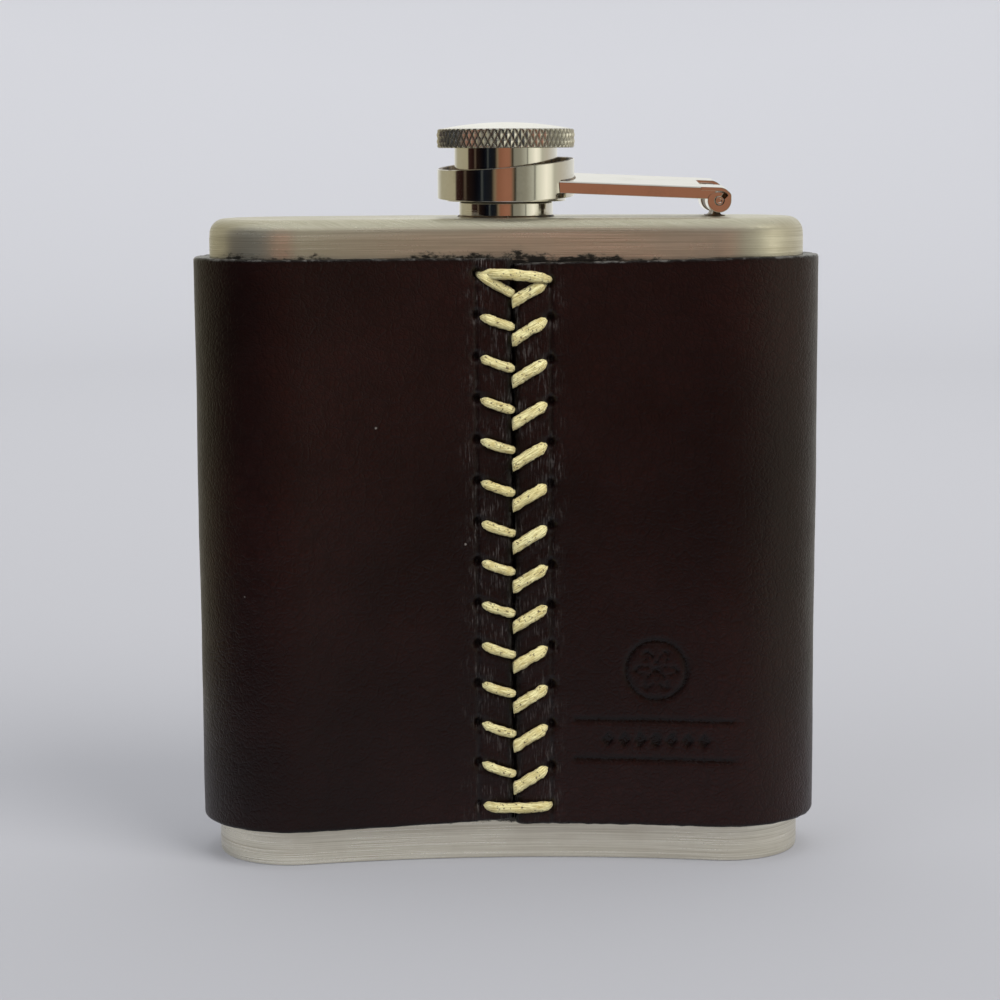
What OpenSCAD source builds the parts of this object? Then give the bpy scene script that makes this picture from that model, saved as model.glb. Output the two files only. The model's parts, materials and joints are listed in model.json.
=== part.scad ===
// Hip flask: a curved, kidney-shaped steel body with a hand-stitched leather wrap,
// a threaded neck, and a captive knurled cap on a hinged arm.
// Millimetres. +Z is up, +X is the hinge side, -Y is the hollow front with the seam.
// The origin is at the bottom centre of the whole flask.

/* [Steel body] */
// Width of the body, side to side
body_w = 92; // [76:1:120]
// Thickness of the body, front face to back face
body_t = 24; // [20:0.5:30]
// Height of the body, base to the flat of the top
body_h = 99.6; // [70:0.1:140]
// Radius of the hollow front face
front_r = 165.5; // [120:0.5:400]
// Sheet thickness of the body
wall = 0.6; // [0.4:0.1:1]
// Radius of the rolled shoulder round the top
shoulder_r = 2.4; // [1.2:0.1:3]
// Depth from the top to the weld between the wall and the drawn top
top_drop = 2.8; // [2.6:0.1:6]
// Height of the base's outer rim, under the wall
rim_h = 0.5; // [0.3:0.1:1]
// Width of the base's outer rim
rim_w = 1.5; // [1.3:0.1:3]
// Height of the base plate's underside above the ground
base_rise = 1.2; // [0.8:0.1:3]

/* [Leather wrap] */
// Thickness of the leather
leather_t = 2.4; // [1.6:0.1:3]
// Thickness of the layer of glue under the leather
glue_t = 0.07; // [0.05:0.01:0.1]
// Bare steel left below the leather
wrap_below = 5.75; // [3:0.05:10]
// Bare steel left above the leather
wrap_above = 5.8; // [4:0.1:12]
// How far the right panel's top edge drops towards the seam
right_drop = 0.9; // [0.2:0.1:1.5]
// How far the left panel's bottom edge rises towards the seam
left_rise = 1.1; // [0.2:0.1:1.5]
// Sideways place of the seam
seam_x = 0.6; // [-2:0.1:2]
// Width of the gap between the two sewn edges
seam_gap = 0.6; // [0.3:0.1:0.8]

/* [Lacing] */
// Diameter of the waxed thread
thread_d = 1.6; // [1:0.1:2]
// Height from one stitch to the next
stitch_pitch = 6.3; // [5:0.1:9]
// Drop from the leather's top edge to the first pair of holes
first_drop = 2.45; // [2.3:0.05:6]
// Height of the bar that ends the lacing above the leather's lower edge
last_rise = 3.2; // [2.6:0.05:6]
// Distance from the seam to the left holes
left_reach = 5.4; // [4:0.1:8]
// Distance from the seam to the right holes
right_reach = 5.6; // [4:0.1:8]
// How far the right hole of a pair sits below the left one
right_lower = 0.4; // [0:0.1:1]
// Fall of a left stitch from its hole to the seam
left_fall = 2.2; // [1:0.1:2.6]
// Fall of a right stitch from its hole to the seam
right_fall = 3; // [1:0.1:3.4]
// Extra fall of the first pair, pulled down by the bar over it
lock_fall = 1.2; // [0.8:0.1:1.6]
// Drop of the bar that closes the top, below the first hole
bar_drop = 0.7; // [0.4:0.1:1]
// Diameter of the punched holes
hole_d = 1.5; // [1.3:0.1:2]

/* [Neck] */
// Diameter over the threads of the spout
spout_d = 12.6; // [10:0.1:14]
// Wall between the threads and the bore
spout_wall = 1.2; // [0.8:0.1:2]
// Height of the spout's rim above the flat of the top
spout_h = 9; // [8:0.1:12]
// How much further out than the threads the spigot in the top reaches
spigot_step = 0.2; // [0.1:0.1:1]
// Length of the spigot below the top plate
spigot_h = 1.5; // [1:0.1:4]
// How much further out than the spigot the collar reaches
collar_step = 0.8; // [0.5:0.1:1.4]
// Height of the collar
collar_h = 2.3; // [1.6:0.1:2.6]
// Height and width of the weld round the foot of the neck
weld = 0.45; // [0.2:0.05:0.8]

/* [Cap] */
// Diameter over the knurled head
head_d = 21.5; // [20:0.1:26]
// Height of the knurled band
head_h = 2.9; // [2:0.1:6]
// Rise of the polished dome over the knurled band
dome_h = 1.05; // [0.4:0.05:3]
// Radial play of the cap over the spout as the arm swings it away
swing_play = 0.1; // [0.05:0.05:0.3]
// Thickness of the thread insert
insert_t = 0.48; // [0.3:0.02:1]
// Sheet thickness of the skirt
skirt_t = 0.55; // [0.4:0.05:1]
// Thickness of the gasket
gasket_t = 1.5; // [1.2:0.1:2]
// Gap between the spout's rim and the gasket with the cap at rest
gasket_gap = 0.1; // [0.05:0.05:0.3]
// Gap between the collar and the bottom of the skirt
skirt_gap = 0.1; // [0.1:0.05:0.5]
// How far the retaining washer stands out from the skirt
washer_w = 1.3; // [1:0.1:2]
// Thickness of the retaining washer
washer_t = 0.6; // [0.4:0.1:0.8]

/* [Hinged arm] */
// Radial clearance between the ring and the retaining washer
ring_gap = 0.55; // [0.4:0.05:1.2]
// Sheet thickness of the ring
ring_t = 0.8; // [0.5:0.1:1]
// Height of the ring's lower edge above the flat of the top
ring_low = 3.05; // [3:0.05:4]
// Height of the ring's upper edge above the flat of the top
ring_high = 8.2; // [7:0.1:9]
// Thickness of the lip that keeps the cap in the ring
lip_t = 0.8; // [0.5:0.1:1]
// Height of the lip above the flat of the top
lip_z = 5.8; // [5.6:0.1:6.4]
// Radial clearance between the lip and the skirt
lip_gap = 0.5; // [0.4:0.05:0.8]
// Width of the arm
arm_w = 14.4; // [10:0.1:16]
// Sheet thickness of the arm
arm_t = 0.6; // [0.4:0.1:1]
// Depth of the arm's folded sides
arm_side = 1.85; // [1.2:0.05:2]
// Height of the arm's top above the hinge pin
arm_over = 2.65; // [2.5:0.05:3]
// Slope of the arm, up towards the cap
arm_slope = 2.1; // [0:0.1:3]
// Roll of the arm, up towards the back
arm_roll = 5; // [0:0.5:5]
// Roll of the ring, up towards the back
ring_roll = 3; // [0:0.5:3]
// Slope of the ring's upper edge, up towards the hinge
ring_top_slope = 4.3; // [0:0.1:5]
// Slope of the ring's lower edge, up towards the hinge
ring_low_slope = 1; // [0:0.1:1.5]

/* [Hinge] */
// Distance from the body's side to the hinge pin
pin_inset = 13.4; // [10:0.1:16]
// Height of the hinge pin above the flat of the top
pin_rise = 2.45; // [2.3:0.05:2.8]
// Diameter of the hinge pin
pin_d = 1.3; // [1:0.1:1.6]
// Radial clearance of the arm's knuckles on the pin
pin_gap = 0.05; // [0.02:0.01:0.1]
// Outer diameter of the arm's knuckles
knuckle_d = 3.7; // [3.4:0.1:3.8]
// Length of the bracket's knuckle, between the arm's two
mid_knuckle = 6; // [4:0.1:8]
// Side gap between the knuckles
side_gap = 0.15; // [0.1:0.05:0.3]
// Width of the bracket's post, seen from the front
post_w = 1.6; // [1:0.1:2.4]
// Thickness of the bracket's foot
foot_t = 0.4; // [0.3:0.05:0.5]
// Length of the bracket's foot, seen from the front
foot_l = 5.4; // [3:0.1:8]

/* [Hidden] */

steel = [0.66, 0.65, 0.62];
bright = [0.8, 0.79, 0.77];
brown = [0.15, 0.09, 0.09];
cream = [0.85, 0.79, 0.58];
rubber = [0.82, 0.82, 0.8];

arc_fn = 256; // the large arcs of the body
round_fn = 96; // rings, tubes and discs
fine_fn = 48; // thread, pin and small fillets
big = 60; // size of a block that cuts away a whole side
past = 1; // how far a cutter runs past the face it cuts
seat_eps = 0.02; // gap that keeps two seated faces from sharing space
end_step = 0.05; // how far the round ends sit inside the flanks they close
bevel_share = 0.55; // bevel inside the shoulder, as a share of its radius

// The body's middle line is an arc, closed by a half circle at each end.
half_t = body_t / 2;
mid_r = front_r + half_t;
end_x = body_w / 2 - half_t;
end_turn = asin(end_x / mid_r);
sag = mid_r - sqrt(mid_r * mid_r - end_x * end_x);
neck_y = sag / 2; // the middle line at x = 0
arc_y = neck_y - mid_r; // centre of the arcs
end_y = neck_y - sag; // centre line of the half circles

wall_top = body_h - top_drop;
inner_bevel = bevel_share * shoulder_r;
wrap_in = half_t + glue_t;
wrap_out = wrap_in + leather_t;
wrap_top = body_h - wrap_above;

thread_r = thread_d / 2;
squeeze = 0.1; // how much thinner the thread is than its hole, each side
peg_r = hole_d / 2 - squeeze; // thread squeezed into a hole
lay_gap = 0.05; // how clear of the leather and of its edge the thread lies
tuck = thread_r + lay_gap; // distance from the seam's edge to a stitch's end
first_z = wrap_top - first_drop;
bar_z = first_z - bar_drop;
ride_share = 0.3; // part of the thread's width that the top bar rides up by
bar_over = ride_share * thread_d; // the bar rides over the two stitches that it closes
bottom_z = wrap_below + last_rise;
// As many pairs as end above the bottom bar, with a little more than a thread between.
lowest_fall = right_lower + right_fall;
clear_share = 1.5;
lowest_z = bottom_z + clear_share * thread_d + lowest_fall;
stitch_n = 1 + floor((first_z - lowest_z) / stitch_pitch);
// The stitches lie on the leather, just clear of its face at the outer holes.
face_r = mid_r - wrap_out;
reach = max(left_reach, right_reach) + abs(seam_x) + thread_r;
stitch_y = arc_y + sqrt(face_r * face_r - reach * reach) - thread_r - lay_gap;
depth_share = 0.8; // how far through the leather the ends of a stitch reach
peg_depth = depth_share * leather_t;

pin_x = body_w / 2 - pin_inset;
pin_z = body_h + pin_rise;

spout_r = spout_d / 2;
bore_d = spout_d - 2 * spout_wall;
spigot_d = spout_d + 2 * spigot_step;
collar_d = spigot_d + 2 * collar_step;
collar_top = body_h + collar_h;
spout_top = body_h + spout_h;

skirt_bottom = collar_top + skirt_gap;
gasket_z = spout_top + gasket_gap;
head_z = gasket_z + gasket_t;
head_top = head_z + head_h;
head_bevel = 0.25;
groove = 0.8; // depth of the head's groove for the skirt
insert_up = 0.4; // height of the insert above the skirt's mouth
dome_foot_r = head_d / 2 - head_bevel;
dome_r = (dome_foot_r * dome_foot_r + dome_h * dome_h) / (2 * dome_h);

// As the arm swings, the far side of the skirt's mouth passes the spout's rim.
far_r = pin_x + spout_r;
rim_over_pin = spout_top - pin_z;
swing_need = sqrt(far_r * far_r + rim_over_pin * rim_over_pin) - far_r;
insert_bore_d = 2 * (spout_r + swing_need + swing_play);
skirt_in = insert_bore_d / 2 + insert_t + seat_eps;
skirt_r = skirt_in + skirt_t;
washer_r = skirt_r + washer_w;

ring_in = washer_r + ring_gap;
ring_r = ring_in + ring_t;

knuckle_r = knuckle_d / 2;
arm_l = pin_x + arm_over; // long enough to be trimmed by the ring
knuckle_l = (arm_w - mid_knuckle) / 2 - side_gap;
corner_r = 1.5; // outer radius of the arm's turned-down end
slot_room = 0.75; // room between the bracket's knuckle and the end of the slot
slot_l = knuckle_r + slot_room; // slot in the arm round the bracket's knuckle
knuckle_step = 0.15; // how much smaller the bracket's knuckle is, all round
tail = 0.4; // how far the arm's web runs past the pin into the turned-down end
braze_r = 0.5; // size of the bead of braze under the arm

// ---- the kidney-shaped sweep ----

// A solid whose half profile is drawn as distance from the middle line and height.
// It follows the body's middle line, and a full turn closes each end.
module kidney() {
  translate([0, arc_y, 0])
    rotate_extrude(angle = 2 * end_turn, start = 90 - end_turn, $fn = arc_fn)
      translate([mid_r, 0]) {
        children();
        mirror([1, 0]) children();
      }
  for (side = [-1, 1])
    translate([side * end_x, end_y, 0])
      rotate_extrude($fn = arc_fn) intersection() {
        translate([-end_step, 0]) children();
        square(2 * (body_h + half_t));
      }
}

// A solid kidney slab, half as thick as the distance given, between two heights.
module slab(half, z0, z1) {
  translate([0, 0, z0]) kidney() square([half, z1 - z0]);
}

// A slab with its upper edge rounded.
module shouldered(half, z0, z1, r) {
  translate([0, 0, z0]) kidney() {
    square([half, z1 - z0 - r]);
    square([half - r, z1 - z0]);
    translate([half - r, z1 - z0 - r]) intersection() {
      circle(r, $fn = fine_fn);
      square(r);
    }
  }
}

// The space under the drawn top: a slab with its upper edge bevelled.
module hollow(half, z0, z1) {
  translate([0, 0, z0]) kidney() polygon([
    [0, 0], [half, 0], [half, z1 - z0 - inner_bevel],
    [half - inner_bevel, z1 - z0], [0, z1 - z0]]);
}

// ---- steel body ----

module body_wall() {
  color(steel) difference() {
    slab(half_t, rim_h, wall_top);
    slab(half_t - wall, rim_h - past, wall_top + past);
  }
}

module top_end() {
  color(steel) difference() {
    shouldered(half_t, wall_top, body_h, shoulder_r);
    hollow(half_t - wall, wall_top - past, body_h - wall);
    translate([0, neck_y, body_h - wall - past])
      cylinder(h = wall + 2 * past, d = spigot_d, $fn = round_fn);
  }
}

module bottom_end() {
  color(steel) difference() {
    union() {
      slab(half_t, 0, rim_h);
      slab(half_t - wall - seat_eps, 0, base_rise + wall);
    }
    slab(half_t - rim_w, -past, base_rise);
  }
}

// ---- neck ----

module tube(d_out, d_in, z0, z1) {
  translate([0, neck_y, z0]) difference() {
    cylinder(h = z1 - z0, d = d_out, $fn = round_fn);
    translate([0, 0, -past]) cylinder(h = z1 - z0 + 2 * past, d = d_in, $fn = round_fn);
  }
}

module neck() {
  foot = body_h - wall - spigot_h;
  color(bright) translate([0, neck_y, 0]) difference() {
    union() {
      translate([0, 0, foot]) cylinder(h = body_h - foot, d = spigot_d, $fn = round_fn);
      translate([0, 0, body_h]) cylinder(h = collar_h, d = collar_d, $fn = round_fn);
      translate([0, 0, collar_top - past])
        cylinder(h = spout_top - collar_top + past, d = spout_d, $fn = round_fn);
    }
    translate([0, 0, foot - past])
      cylinder(h = spout_top - foot + 2 * past, d = bore_d, $fn = round_fn);
  }
}

module neck_weld() {
  color(steel) translate([0, neck_y, body_h])
    rotate_extrude($fn = round_fn)
      translate([collar_d / 2, 0]) polygon([[0, 0], [weld, 0], [0, weld]]);
}

// ---- leather wrap and its lacing ----

// Height of the hole pair of stitch k, counted down from 0.
function stitch_z(k) = first_z - k * stitch_pitch;

// A straight run of thread with round ends, in the plane of the stitches.
module strand(x0, z0, x1, z1) {
  dx = x1 - x0;
  dz = z1 - z0;
  run = sqrt(dx * dx + dz * dz);
  translate([x0, stitch_y, z0]) rotate([0, atan2(dx, dz), 0])
    rotate_extrude($fn = fine_fn) intersection() {
      union() {
        circle(thread_r, $fn = fine_fn);
        square([thread_r, run]);
        translate([0, run]) circle(thread_r, $fn = fine_fn);
      }
      translate([0, -thread_d]) square([thread_d, run + 2 * thread_d]);
    }
}

// Thread, or the hole punched for it, running into the leather.
module into_leather(x, z, r, depth) {
  translate([x, stitch_y, z]) rotate([-90, 0, 0])
    cylinder(h = thread_r + lay_gap + depth, r = r, $fn = fine_fn);
}

// Where a slanting stitch starts and ends: side is -1 on the left, 1 on the right.
function hole_x(side) = seam_x + (side < 0 ? -left_reach : right_reach);
function hole_z(side, z) = side < 0 ? z : z - right_lower;
function edge_x(side) = seam_x + side * (seam_gap / 2 + tuck);
function edge_z(side, z) = hole_z(side, z) - (side < 0 ? left_fall : right_fall);

// One slanting stitch.
module leg(side, z, extra = 0) {
  strand(hole_x(side), hole_z(side, z), edge_x(side), edge_z(side, z) - extra);
  into_leather(hole_x(side), hole_z(side, z), peg_r, peg_depth);
  into_leather(edge_x(side), edge_z(side, z) - extra, peg_r, peg_depth);
}

// The holes for one slanting stitch.
module leg_holes(side, z, extra = 0) {
  into_leather(hole_x(side), hole_z(side, z), hole_d / 2, leather_t + past);
  into_leather(edge_x(side), edge_z(side, z) - extra, hole_d / 2, leather_t + past);
}

module leather_wrap() {
  front = arc_y + face_r - sag - past;
  deep = sag + leather_t + 3 * past;
  right_x = seam_x + end_x;
  color(brown) difference() {
    slab(wrap_out, wrap_below, wrap_top);
    slab(wrap_in, wrap_below - past, wrap_top + past);
    translate([seam_x - seam_gap / 2, front, wrap_below - past])
      cube([seam_gap, deep, wrap_top - wrap_below + 2 * past]);
    translate([0, front + deep, 0]) rotate([90, 0, 0]) linear_extrude(deep)
      polygon([[seam_x, wrap_top - right_drop], [right_x, wrap_top],
               [right_x, wrap_top + past], [seam_x, wrap_top + past]]);
    translate([0, front + deep, 0]) rotate([90, 0, 0]) linear_extrude(deep)
      polygon([[seam_x, wrap_below + left_rise], [seam_x, wrap_below - past],
               [-end_x, wrap_below - past], [-end_x, wrap_below]]);
    for (k = [0 : stitch_n - 1], side = [-1, 1])
      leg_holes(side, stitch_z(k), k == 0 ? lock_fall : 0);
    for (side = [-1, 1])
      into_leather(hole_x(side), bottom_z, hole_d / 2, leather_t + past);
  }
}

module stitches_left() {
  color(cream) for (k = [1 : stitch_n - 1]) leg(-1, stitch_z(k));
}

module stitches_right() {
  color(cream) for (k = [1 : stitch_n - 1]) leg(1, stitch_z(k));
}

// A pair of slanting stitches closed by a level bar that shares their holes.
module top_lock_stitch() {
  color(cream) {
    leg(-1, first_z, lock_fall);
    leg(1, first_z, lock_fall);
    translate([0, -bar_over, 0]) strand(hole_x(-1), bar_z, hole_x(1), bar_z);
  }
}

module bottom_lock_stitch() {
  color(cream) {
    strand(hole_x(-1), bottom_z, hole_x(1), bottom_z);
    for (side = [-1, 1]) into_leather(hole_x(side), bottom_z, peg_r, peg_depth);
  }
}

// ---- hinge ----

// A cylinder along Y about the pin, centred on the neck's line.
module along_pin(d, l) {
  translate([pin_x, neck_y + l / 2, pin_z]) rotate([90, 0, 0])
    cylinder(h = l, d = d, $fn = fine_fn);
}

module hinge_bracket() {
  color(steel) difference() {
    union() {
      along_pin(knuckle_d - 2 * knuckle_step, mid_knuckle);
      translate([pin_x - post_w / 2, neck_y - mid_knuckle / 2, body_h])
        cube([post_w, mid_knuckle, pin_rise]);
      translate([pin_x - foot_l / 2, neck_y - mid_knuckle / 2, body_h])
        cube([foot_l, mid_knuckle, foot_t]);
    }
    along_pin(pin_d + 2 * seat_eps, mid_knuckle + 2 * past);
  }
}

module hinge_pin() {
  color(bright) along_pin(pin_d, arm_w);
}

// The frame of the arm: its top face is z = 0, the pin is below x = 0.
module arm_frame() {
  translate([pin_x, neck_y, pin_z + arm_over])
    rotate([0, arm_slope, 0]) rotate([arm_roll, 0, 0]) children();
}

// One knuckle of the arm: an eye on the pin that grows into the turned-down end.
module knuckle(y0) {
  translate([pin_x, neck_y + y0 + knuckle_l, pin_z]) rotate([90, 0, 0])
    linear_extrude(knuckle_l) {
      circle(knuckle_r, $fn = fine_fn);
      translate([-knuckle_r, 0]) square([2 * knuckle_r, arm_over - corner_r]);
      translate([-knuckle_r, 0]) square([2 * knuckle_r - corner_r, arm_over - arm_t]);
      translate([knuckle_r - corner_r, arm_over - corner_r])
        circle(corner_r - arm_t / 2, $fn = fine_fn);
    }
}

module hinge_arm() {
  half = arm_w / 2;
  color(bright) difference() {
    union() {
      arm_frame() {
        translate([-arm_l, -half, -arm_t]) cube([arm_l + tail, arm_w, arm_t]);
        for (y = [-half, half - arm_t])
          translate([-arm_l, y, -arm_side]) cube([arm_l, arm_t, arm_side]);
      }
      for (y = [-half, half - knuckle_l]) knuckle(y);
    }
    // the slot for the bracket's knuckle
    translate([pin_x - slot_l, neck_y - mid_knuckle / 2 - side_gap, pin_z - big / 2])
      cube([big, mid_knuckle + 2 * side_gap, big]);
    along_pin(pin_d + 2 * pin_gap, arm_w + 2 * past);
    // the end that meets the ring
    translate([0, neck_y, body_h]) cylinder(h = big, r = ring_r + seat_eps, $fn = round_fn);
    translate([-big, -big / 2, 0]) cube([big, big, 2 * body_h]);
  }
}

// Keeps only what lies between two slanting planes through the neck's axis.
module between_planes(z0, slope0, z1, slope1) {
  difference() {
    children();
    translate([0, neck_y, z0]) rotate([ring_roll, -slope0, 0])
      translate([-big / 2, -big / 2, -big]) cube(big);
    translate([0, neck_y, z1]) rotate([ring_roll, -slope1, 0])
      translate([-big / 2, -big / 2, 0]) cube(big);
  }
}

module collar_ring() {
  lip_mid = body_h + lip_z;
  color(bright) {
    between_planes(body_h + ring_low, ring_low_slope, body_h + ring_high, ring_top_slope)
      tube(2 * ring_r, 2 * ring_in, body_h, body_h + 2 * ring_high);
    between_planes(lip_mid - lip_t / 2, 0, lip_mid + lip_t / 2, 0)
      tube(2 * ring_in + ring_t, 2 * (skirt_r + lip_gap), body_h, body_h + 2 * ring_high);
  }
}

// The bead of braze under the arm, where its web meets the ring.
module ring_braze() {
  color(steel) intersection() {
    arm_frame() translate([-arm_l, -arm_w / 2 + arm_t, -arm_t - braze_r])
      cube([arm_l, arm_w - 2 * arm_t, braze_r]);
    tube(2 * (ring_r + braze_r), 2 * (ring_r + seat_eps), body_h, body_h + big);
    translate([0, -big / 2, 0]) cube([big, big, 2 * body_h]);
  }
}

// ---- cap ----

module retaining_washer() {
  color(bright)
    tube(2 * washer_r, 2 * (skirt_r + seat_eps), skirt_bottom, skirt_bottom + washer_t);
}

module cap_skirt() {
  color(bright) tube(2 * skirt_r, 2 * skirt_in, skirt_bottom, head_z + groove);
}

module thread_insert() {
  color(steel)
    tube(2 * (skirt_in - seat_eps), insert_bore_d, skirt_bottom + insert_up, gasket_z);
}

module cap_gasket() {
  color(rubber) translate([0, neck_y, gasket_z])
    cylinder(h = gasket_t, r = skirt_in - seat_eps, $fn = round_fn);
}

module cap_head() {
  color(bright) translate([0, neck_y, 0]) rotate_extrude($fn = round_fn) {
    difference() {
      translate([0, head_z]) square([head_d / 2, head_h - head_bevel]);
      translate([skirt_in - seat_eps, head_z - past])
        square([skirt_t + 2 * seat_eps, groove + past + seat_eps]);
      // lower bevel
      translate([head_d / 2, head_z]) rotate(45) square(head_bevel * sqrt(2), center = true);
    }
    translate([0, head_top - head_bevel]) square([dome_foot_r, head_bevel]);
    intersection() {
      translate([0, head_top + dome_h - dome_r]) circle(dome_r, $fn = arc_fn);
      translate([0, head_top - past]) square([dome_foot_r, dome_h + past]);
    }
  }
}

body_wall();
top_end();
bottom_end();
neck();
neck_weld();
hinge_bracket();
hinge_pin();
leather_wrap();
stitches_left();
stitches_right();
top_lock_stitch();
bottom_lock_stitch();
hinge_arm();
collar_ring();
ring_braze();
retaining_washer();
cap_head();
cap_skirt();
thread_insert();
cap_gasket();
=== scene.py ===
# %% [markdown]
# # A hip flask with a laced leather wrap
# A curved steel flask stands inside one sheet of dark leather, sewn up the front with waxed
# thread. A knurled cap is held by a hinged arm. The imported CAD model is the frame: it says
# where everything is and what moves, and each piece here takes its place and size from it.

import json
from math import asin, atan2, cos, pi, radians, sin, sqrt, tan, tau

import bmesh
import bpy
import numpy as np
from mathutils import Matrix, Vector, noise


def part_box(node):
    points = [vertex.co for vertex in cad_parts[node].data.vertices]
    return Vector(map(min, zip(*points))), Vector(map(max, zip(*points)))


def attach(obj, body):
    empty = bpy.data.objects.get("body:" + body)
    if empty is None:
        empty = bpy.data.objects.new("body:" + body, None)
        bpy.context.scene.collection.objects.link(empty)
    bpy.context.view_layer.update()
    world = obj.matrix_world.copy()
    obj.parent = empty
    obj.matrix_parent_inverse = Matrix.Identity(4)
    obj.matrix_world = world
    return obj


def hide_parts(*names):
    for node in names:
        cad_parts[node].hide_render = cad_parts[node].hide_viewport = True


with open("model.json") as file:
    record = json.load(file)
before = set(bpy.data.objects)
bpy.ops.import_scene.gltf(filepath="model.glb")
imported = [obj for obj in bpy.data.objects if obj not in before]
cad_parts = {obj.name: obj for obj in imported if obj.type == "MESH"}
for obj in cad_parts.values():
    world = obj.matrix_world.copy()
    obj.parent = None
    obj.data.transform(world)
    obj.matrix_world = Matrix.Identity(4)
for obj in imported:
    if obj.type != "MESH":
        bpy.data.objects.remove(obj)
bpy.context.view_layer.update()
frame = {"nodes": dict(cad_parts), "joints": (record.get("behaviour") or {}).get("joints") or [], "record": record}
MM = 0.001
print("CAD nodes:", sorted(frame["nodes"]))

# %% [markdown]
# ## Measures
# A metalworker would call the flask's plan a kidney: its middle line is an arc, with a half
# circle at each end. Reading that arc back from the boxes of the CAD nodes means that a
# change of size in the CAD carries over to everything below.

# %% Read the measures from the frame
def half_width(name):
    """Half the width of a CAD node, which is the radius of a turned one."""
    low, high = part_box(name)
    return (high.x - low.x) / 2


wall_low, wall_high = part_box("body_wall")
neck_low, neck_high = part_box("neck")
leather_low, leather_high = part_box("leather_wrap")
NECK_Y = (neck_low.y + neck_high.y) / 2
HALF_T = wall_high.y - NECK_Y  # half the body's thickness
END_X = wall_high.x - HALF_T  # centre of the round ends
SAG = 2 * NECK_Y  # fall of the middle line from the centre to the ends
MID_R = (END_X ** 2 + SAG ** 2) / (2 * SAG)
ARC_Y = NECK_Y - MID_R
END_Y = NECK_Y - SAG
END_TURN = asin(END_X / MID_R)
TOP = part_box("top_end")[1].z  # the flat of the top
LEATHER_OUT = leather_high.y - NECK_Y  # middle line to the leather's face
ARC_CENTRE = Vector((0, ARC_Y, 0))
RIGHT_END, LEFT_END = Vector((END_X, END_Y, 0)), Vector((-END_X, END_Y, 0))
NECK = Vector((0, NECK_Y, 0))
joints = {joint["name"]: joint for joint in frame["joints"]}
PIN = Vector(joints["arm_hinge"]["pos_m"])
print(f"middle line radius {MID_R / MM:.1f} mm, ends at x {END_X / MM:.1f} mm, top {TOP / MM:.1f} mm")

# %% [markdown]
# ## Camera
# The flask is seen from the front, a little above, with a long lens. Yaw, pitch and roll
# turn the camera, and a matrix built from its three directions avoids guessing Euler angles.

# %% Place the camera
YAW, PITCH, ROLL = 0.0237, 0.1398, -0.0043  # radians
CAMERA_PLACE = (-0.0105, NECK_Y - 0.3953, 0.11055)
FOCAL_LENGTH = 90.68  # millimetres
forward = Vector((sin(YAW) * cos(PITCH), cos(YAW) * cos(PITCH), -sin(PITCH)))
level = Vector((cos(YAW), -sin(YAW), 0))
upward = level.cross(forward)
right = cos(ROLL) * level + sin(ROLL) * upward
up = -sin(ROLL) * level + cos(ROLL) * upward
camera_data = bpy.data.cameras.new("camera")
camera_data.lens = FOCAL_LENGTH
camera = bpy.data.objects.new("camera", camera_data)
turned = Matrix((right, up, -forward)).transposed().to_4x4()
camera.matrix_world = Matrix.Translation(CAMERA_PLACE) @ turned
bpy.context.scene.collection.objects.link(camera)
bpy.context.scene.camera = camera
bpy.context.scene.view_settings.view_transform = "Standard"
print("camera at", [round(value, 4) for value in camera.location])

# %% [markdown]
# ## Helpers for turned and swept pieces
# Most of the metal is either turned on a lathe or drawn over the kidney-shaped tool. Both
# are a short outline and `bmesh.ops.spin`: once round for a turned piece, and five spins
# in a row, each from where the last one ended, for a piece that follows the body.

# %% Outlines
def arc(x, z, radius, start, end, count):
    """Points along an arc about (x, z), angles in degrees, as for a drawn outline."""
    angles = [radians(start + (end - start) * i / count) for i in range(count + 1)]
    return [(x + radius * cos(a), z + radius * sin(a)) for a in angles]


def chain(bm, points, close=False):
    """Vertices and edges joining 3-D points in order."""
    verts = [bm.verts.new(point) for point in points]
    edges = [bm.edges.new(pair) for pair in zip(verts, verts[1:])]
    if close:
        edges.append(bm.edges.new((verts[-1], verts[0])))
    return verts, edges


def turn(bm, outline, steps=192, close=True, rise=0.0, turns=1.0):
    """Spin an outline of (radius, height) about the neck's axis."""
    verts, edges = chain(bm, [(r, NECK_Y, z) for r, z in outline], close)
    whole = rise == 0.0 and turns == 1.0
    return bmesh.ops.spin(
        bm, geom=verts + edges, cent=NECK, axis=(0, 0, 1), dvec=(0, 0, rise / steps),
        angle=tau * turns, steps=steps, use_merge=whole)["geom_last"]


def spin_legs(bm, geom, legs):
    """Spin an outline about one centre after another: (centre, angle, steps)."""
    for centre, angle, steps in legs:
        geom = bmesh.ops.spin(
            bm, geom=geom, cent=centre, axis=(0, 0, 1), dvec=(0, 0, 0), angle=angle,
            steps=steps, use_merge=False)["geom_last"]
    bmesh.ops.remove_doubles(bm, verts=bm.verts, dist=1e-7)


def sweep_body(bm, outline, steps=64):
    """Carry an outline of (distance from the middle line, height) round the body."""
    verts, edges = chain(bm, [(0, NECK_Y - s, z) for s, z in outline])
    legs = [(ARC_CENTRE, -END_TURN, steps), (RIGHT_END, pi, steps), (ARC_CENTRE, 2 * END_TURN, 2 * steps),
            (LEFT_END, pi, steps), (ARC_CENTRE, -END_TURN, steps)]
    spin_legs(bm, verts + edges, legs)


# %% Finishing a mesh
def tidy(bm, merge=1e-7):
    """Join what touches and turn every face outwards."""
    bmesh.ops.remove_doubles(bm, verts=bm.verts, dist=merge)
    bmesh.ops.recalc_face_normals(bm, faces=bm.faces)


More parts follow.
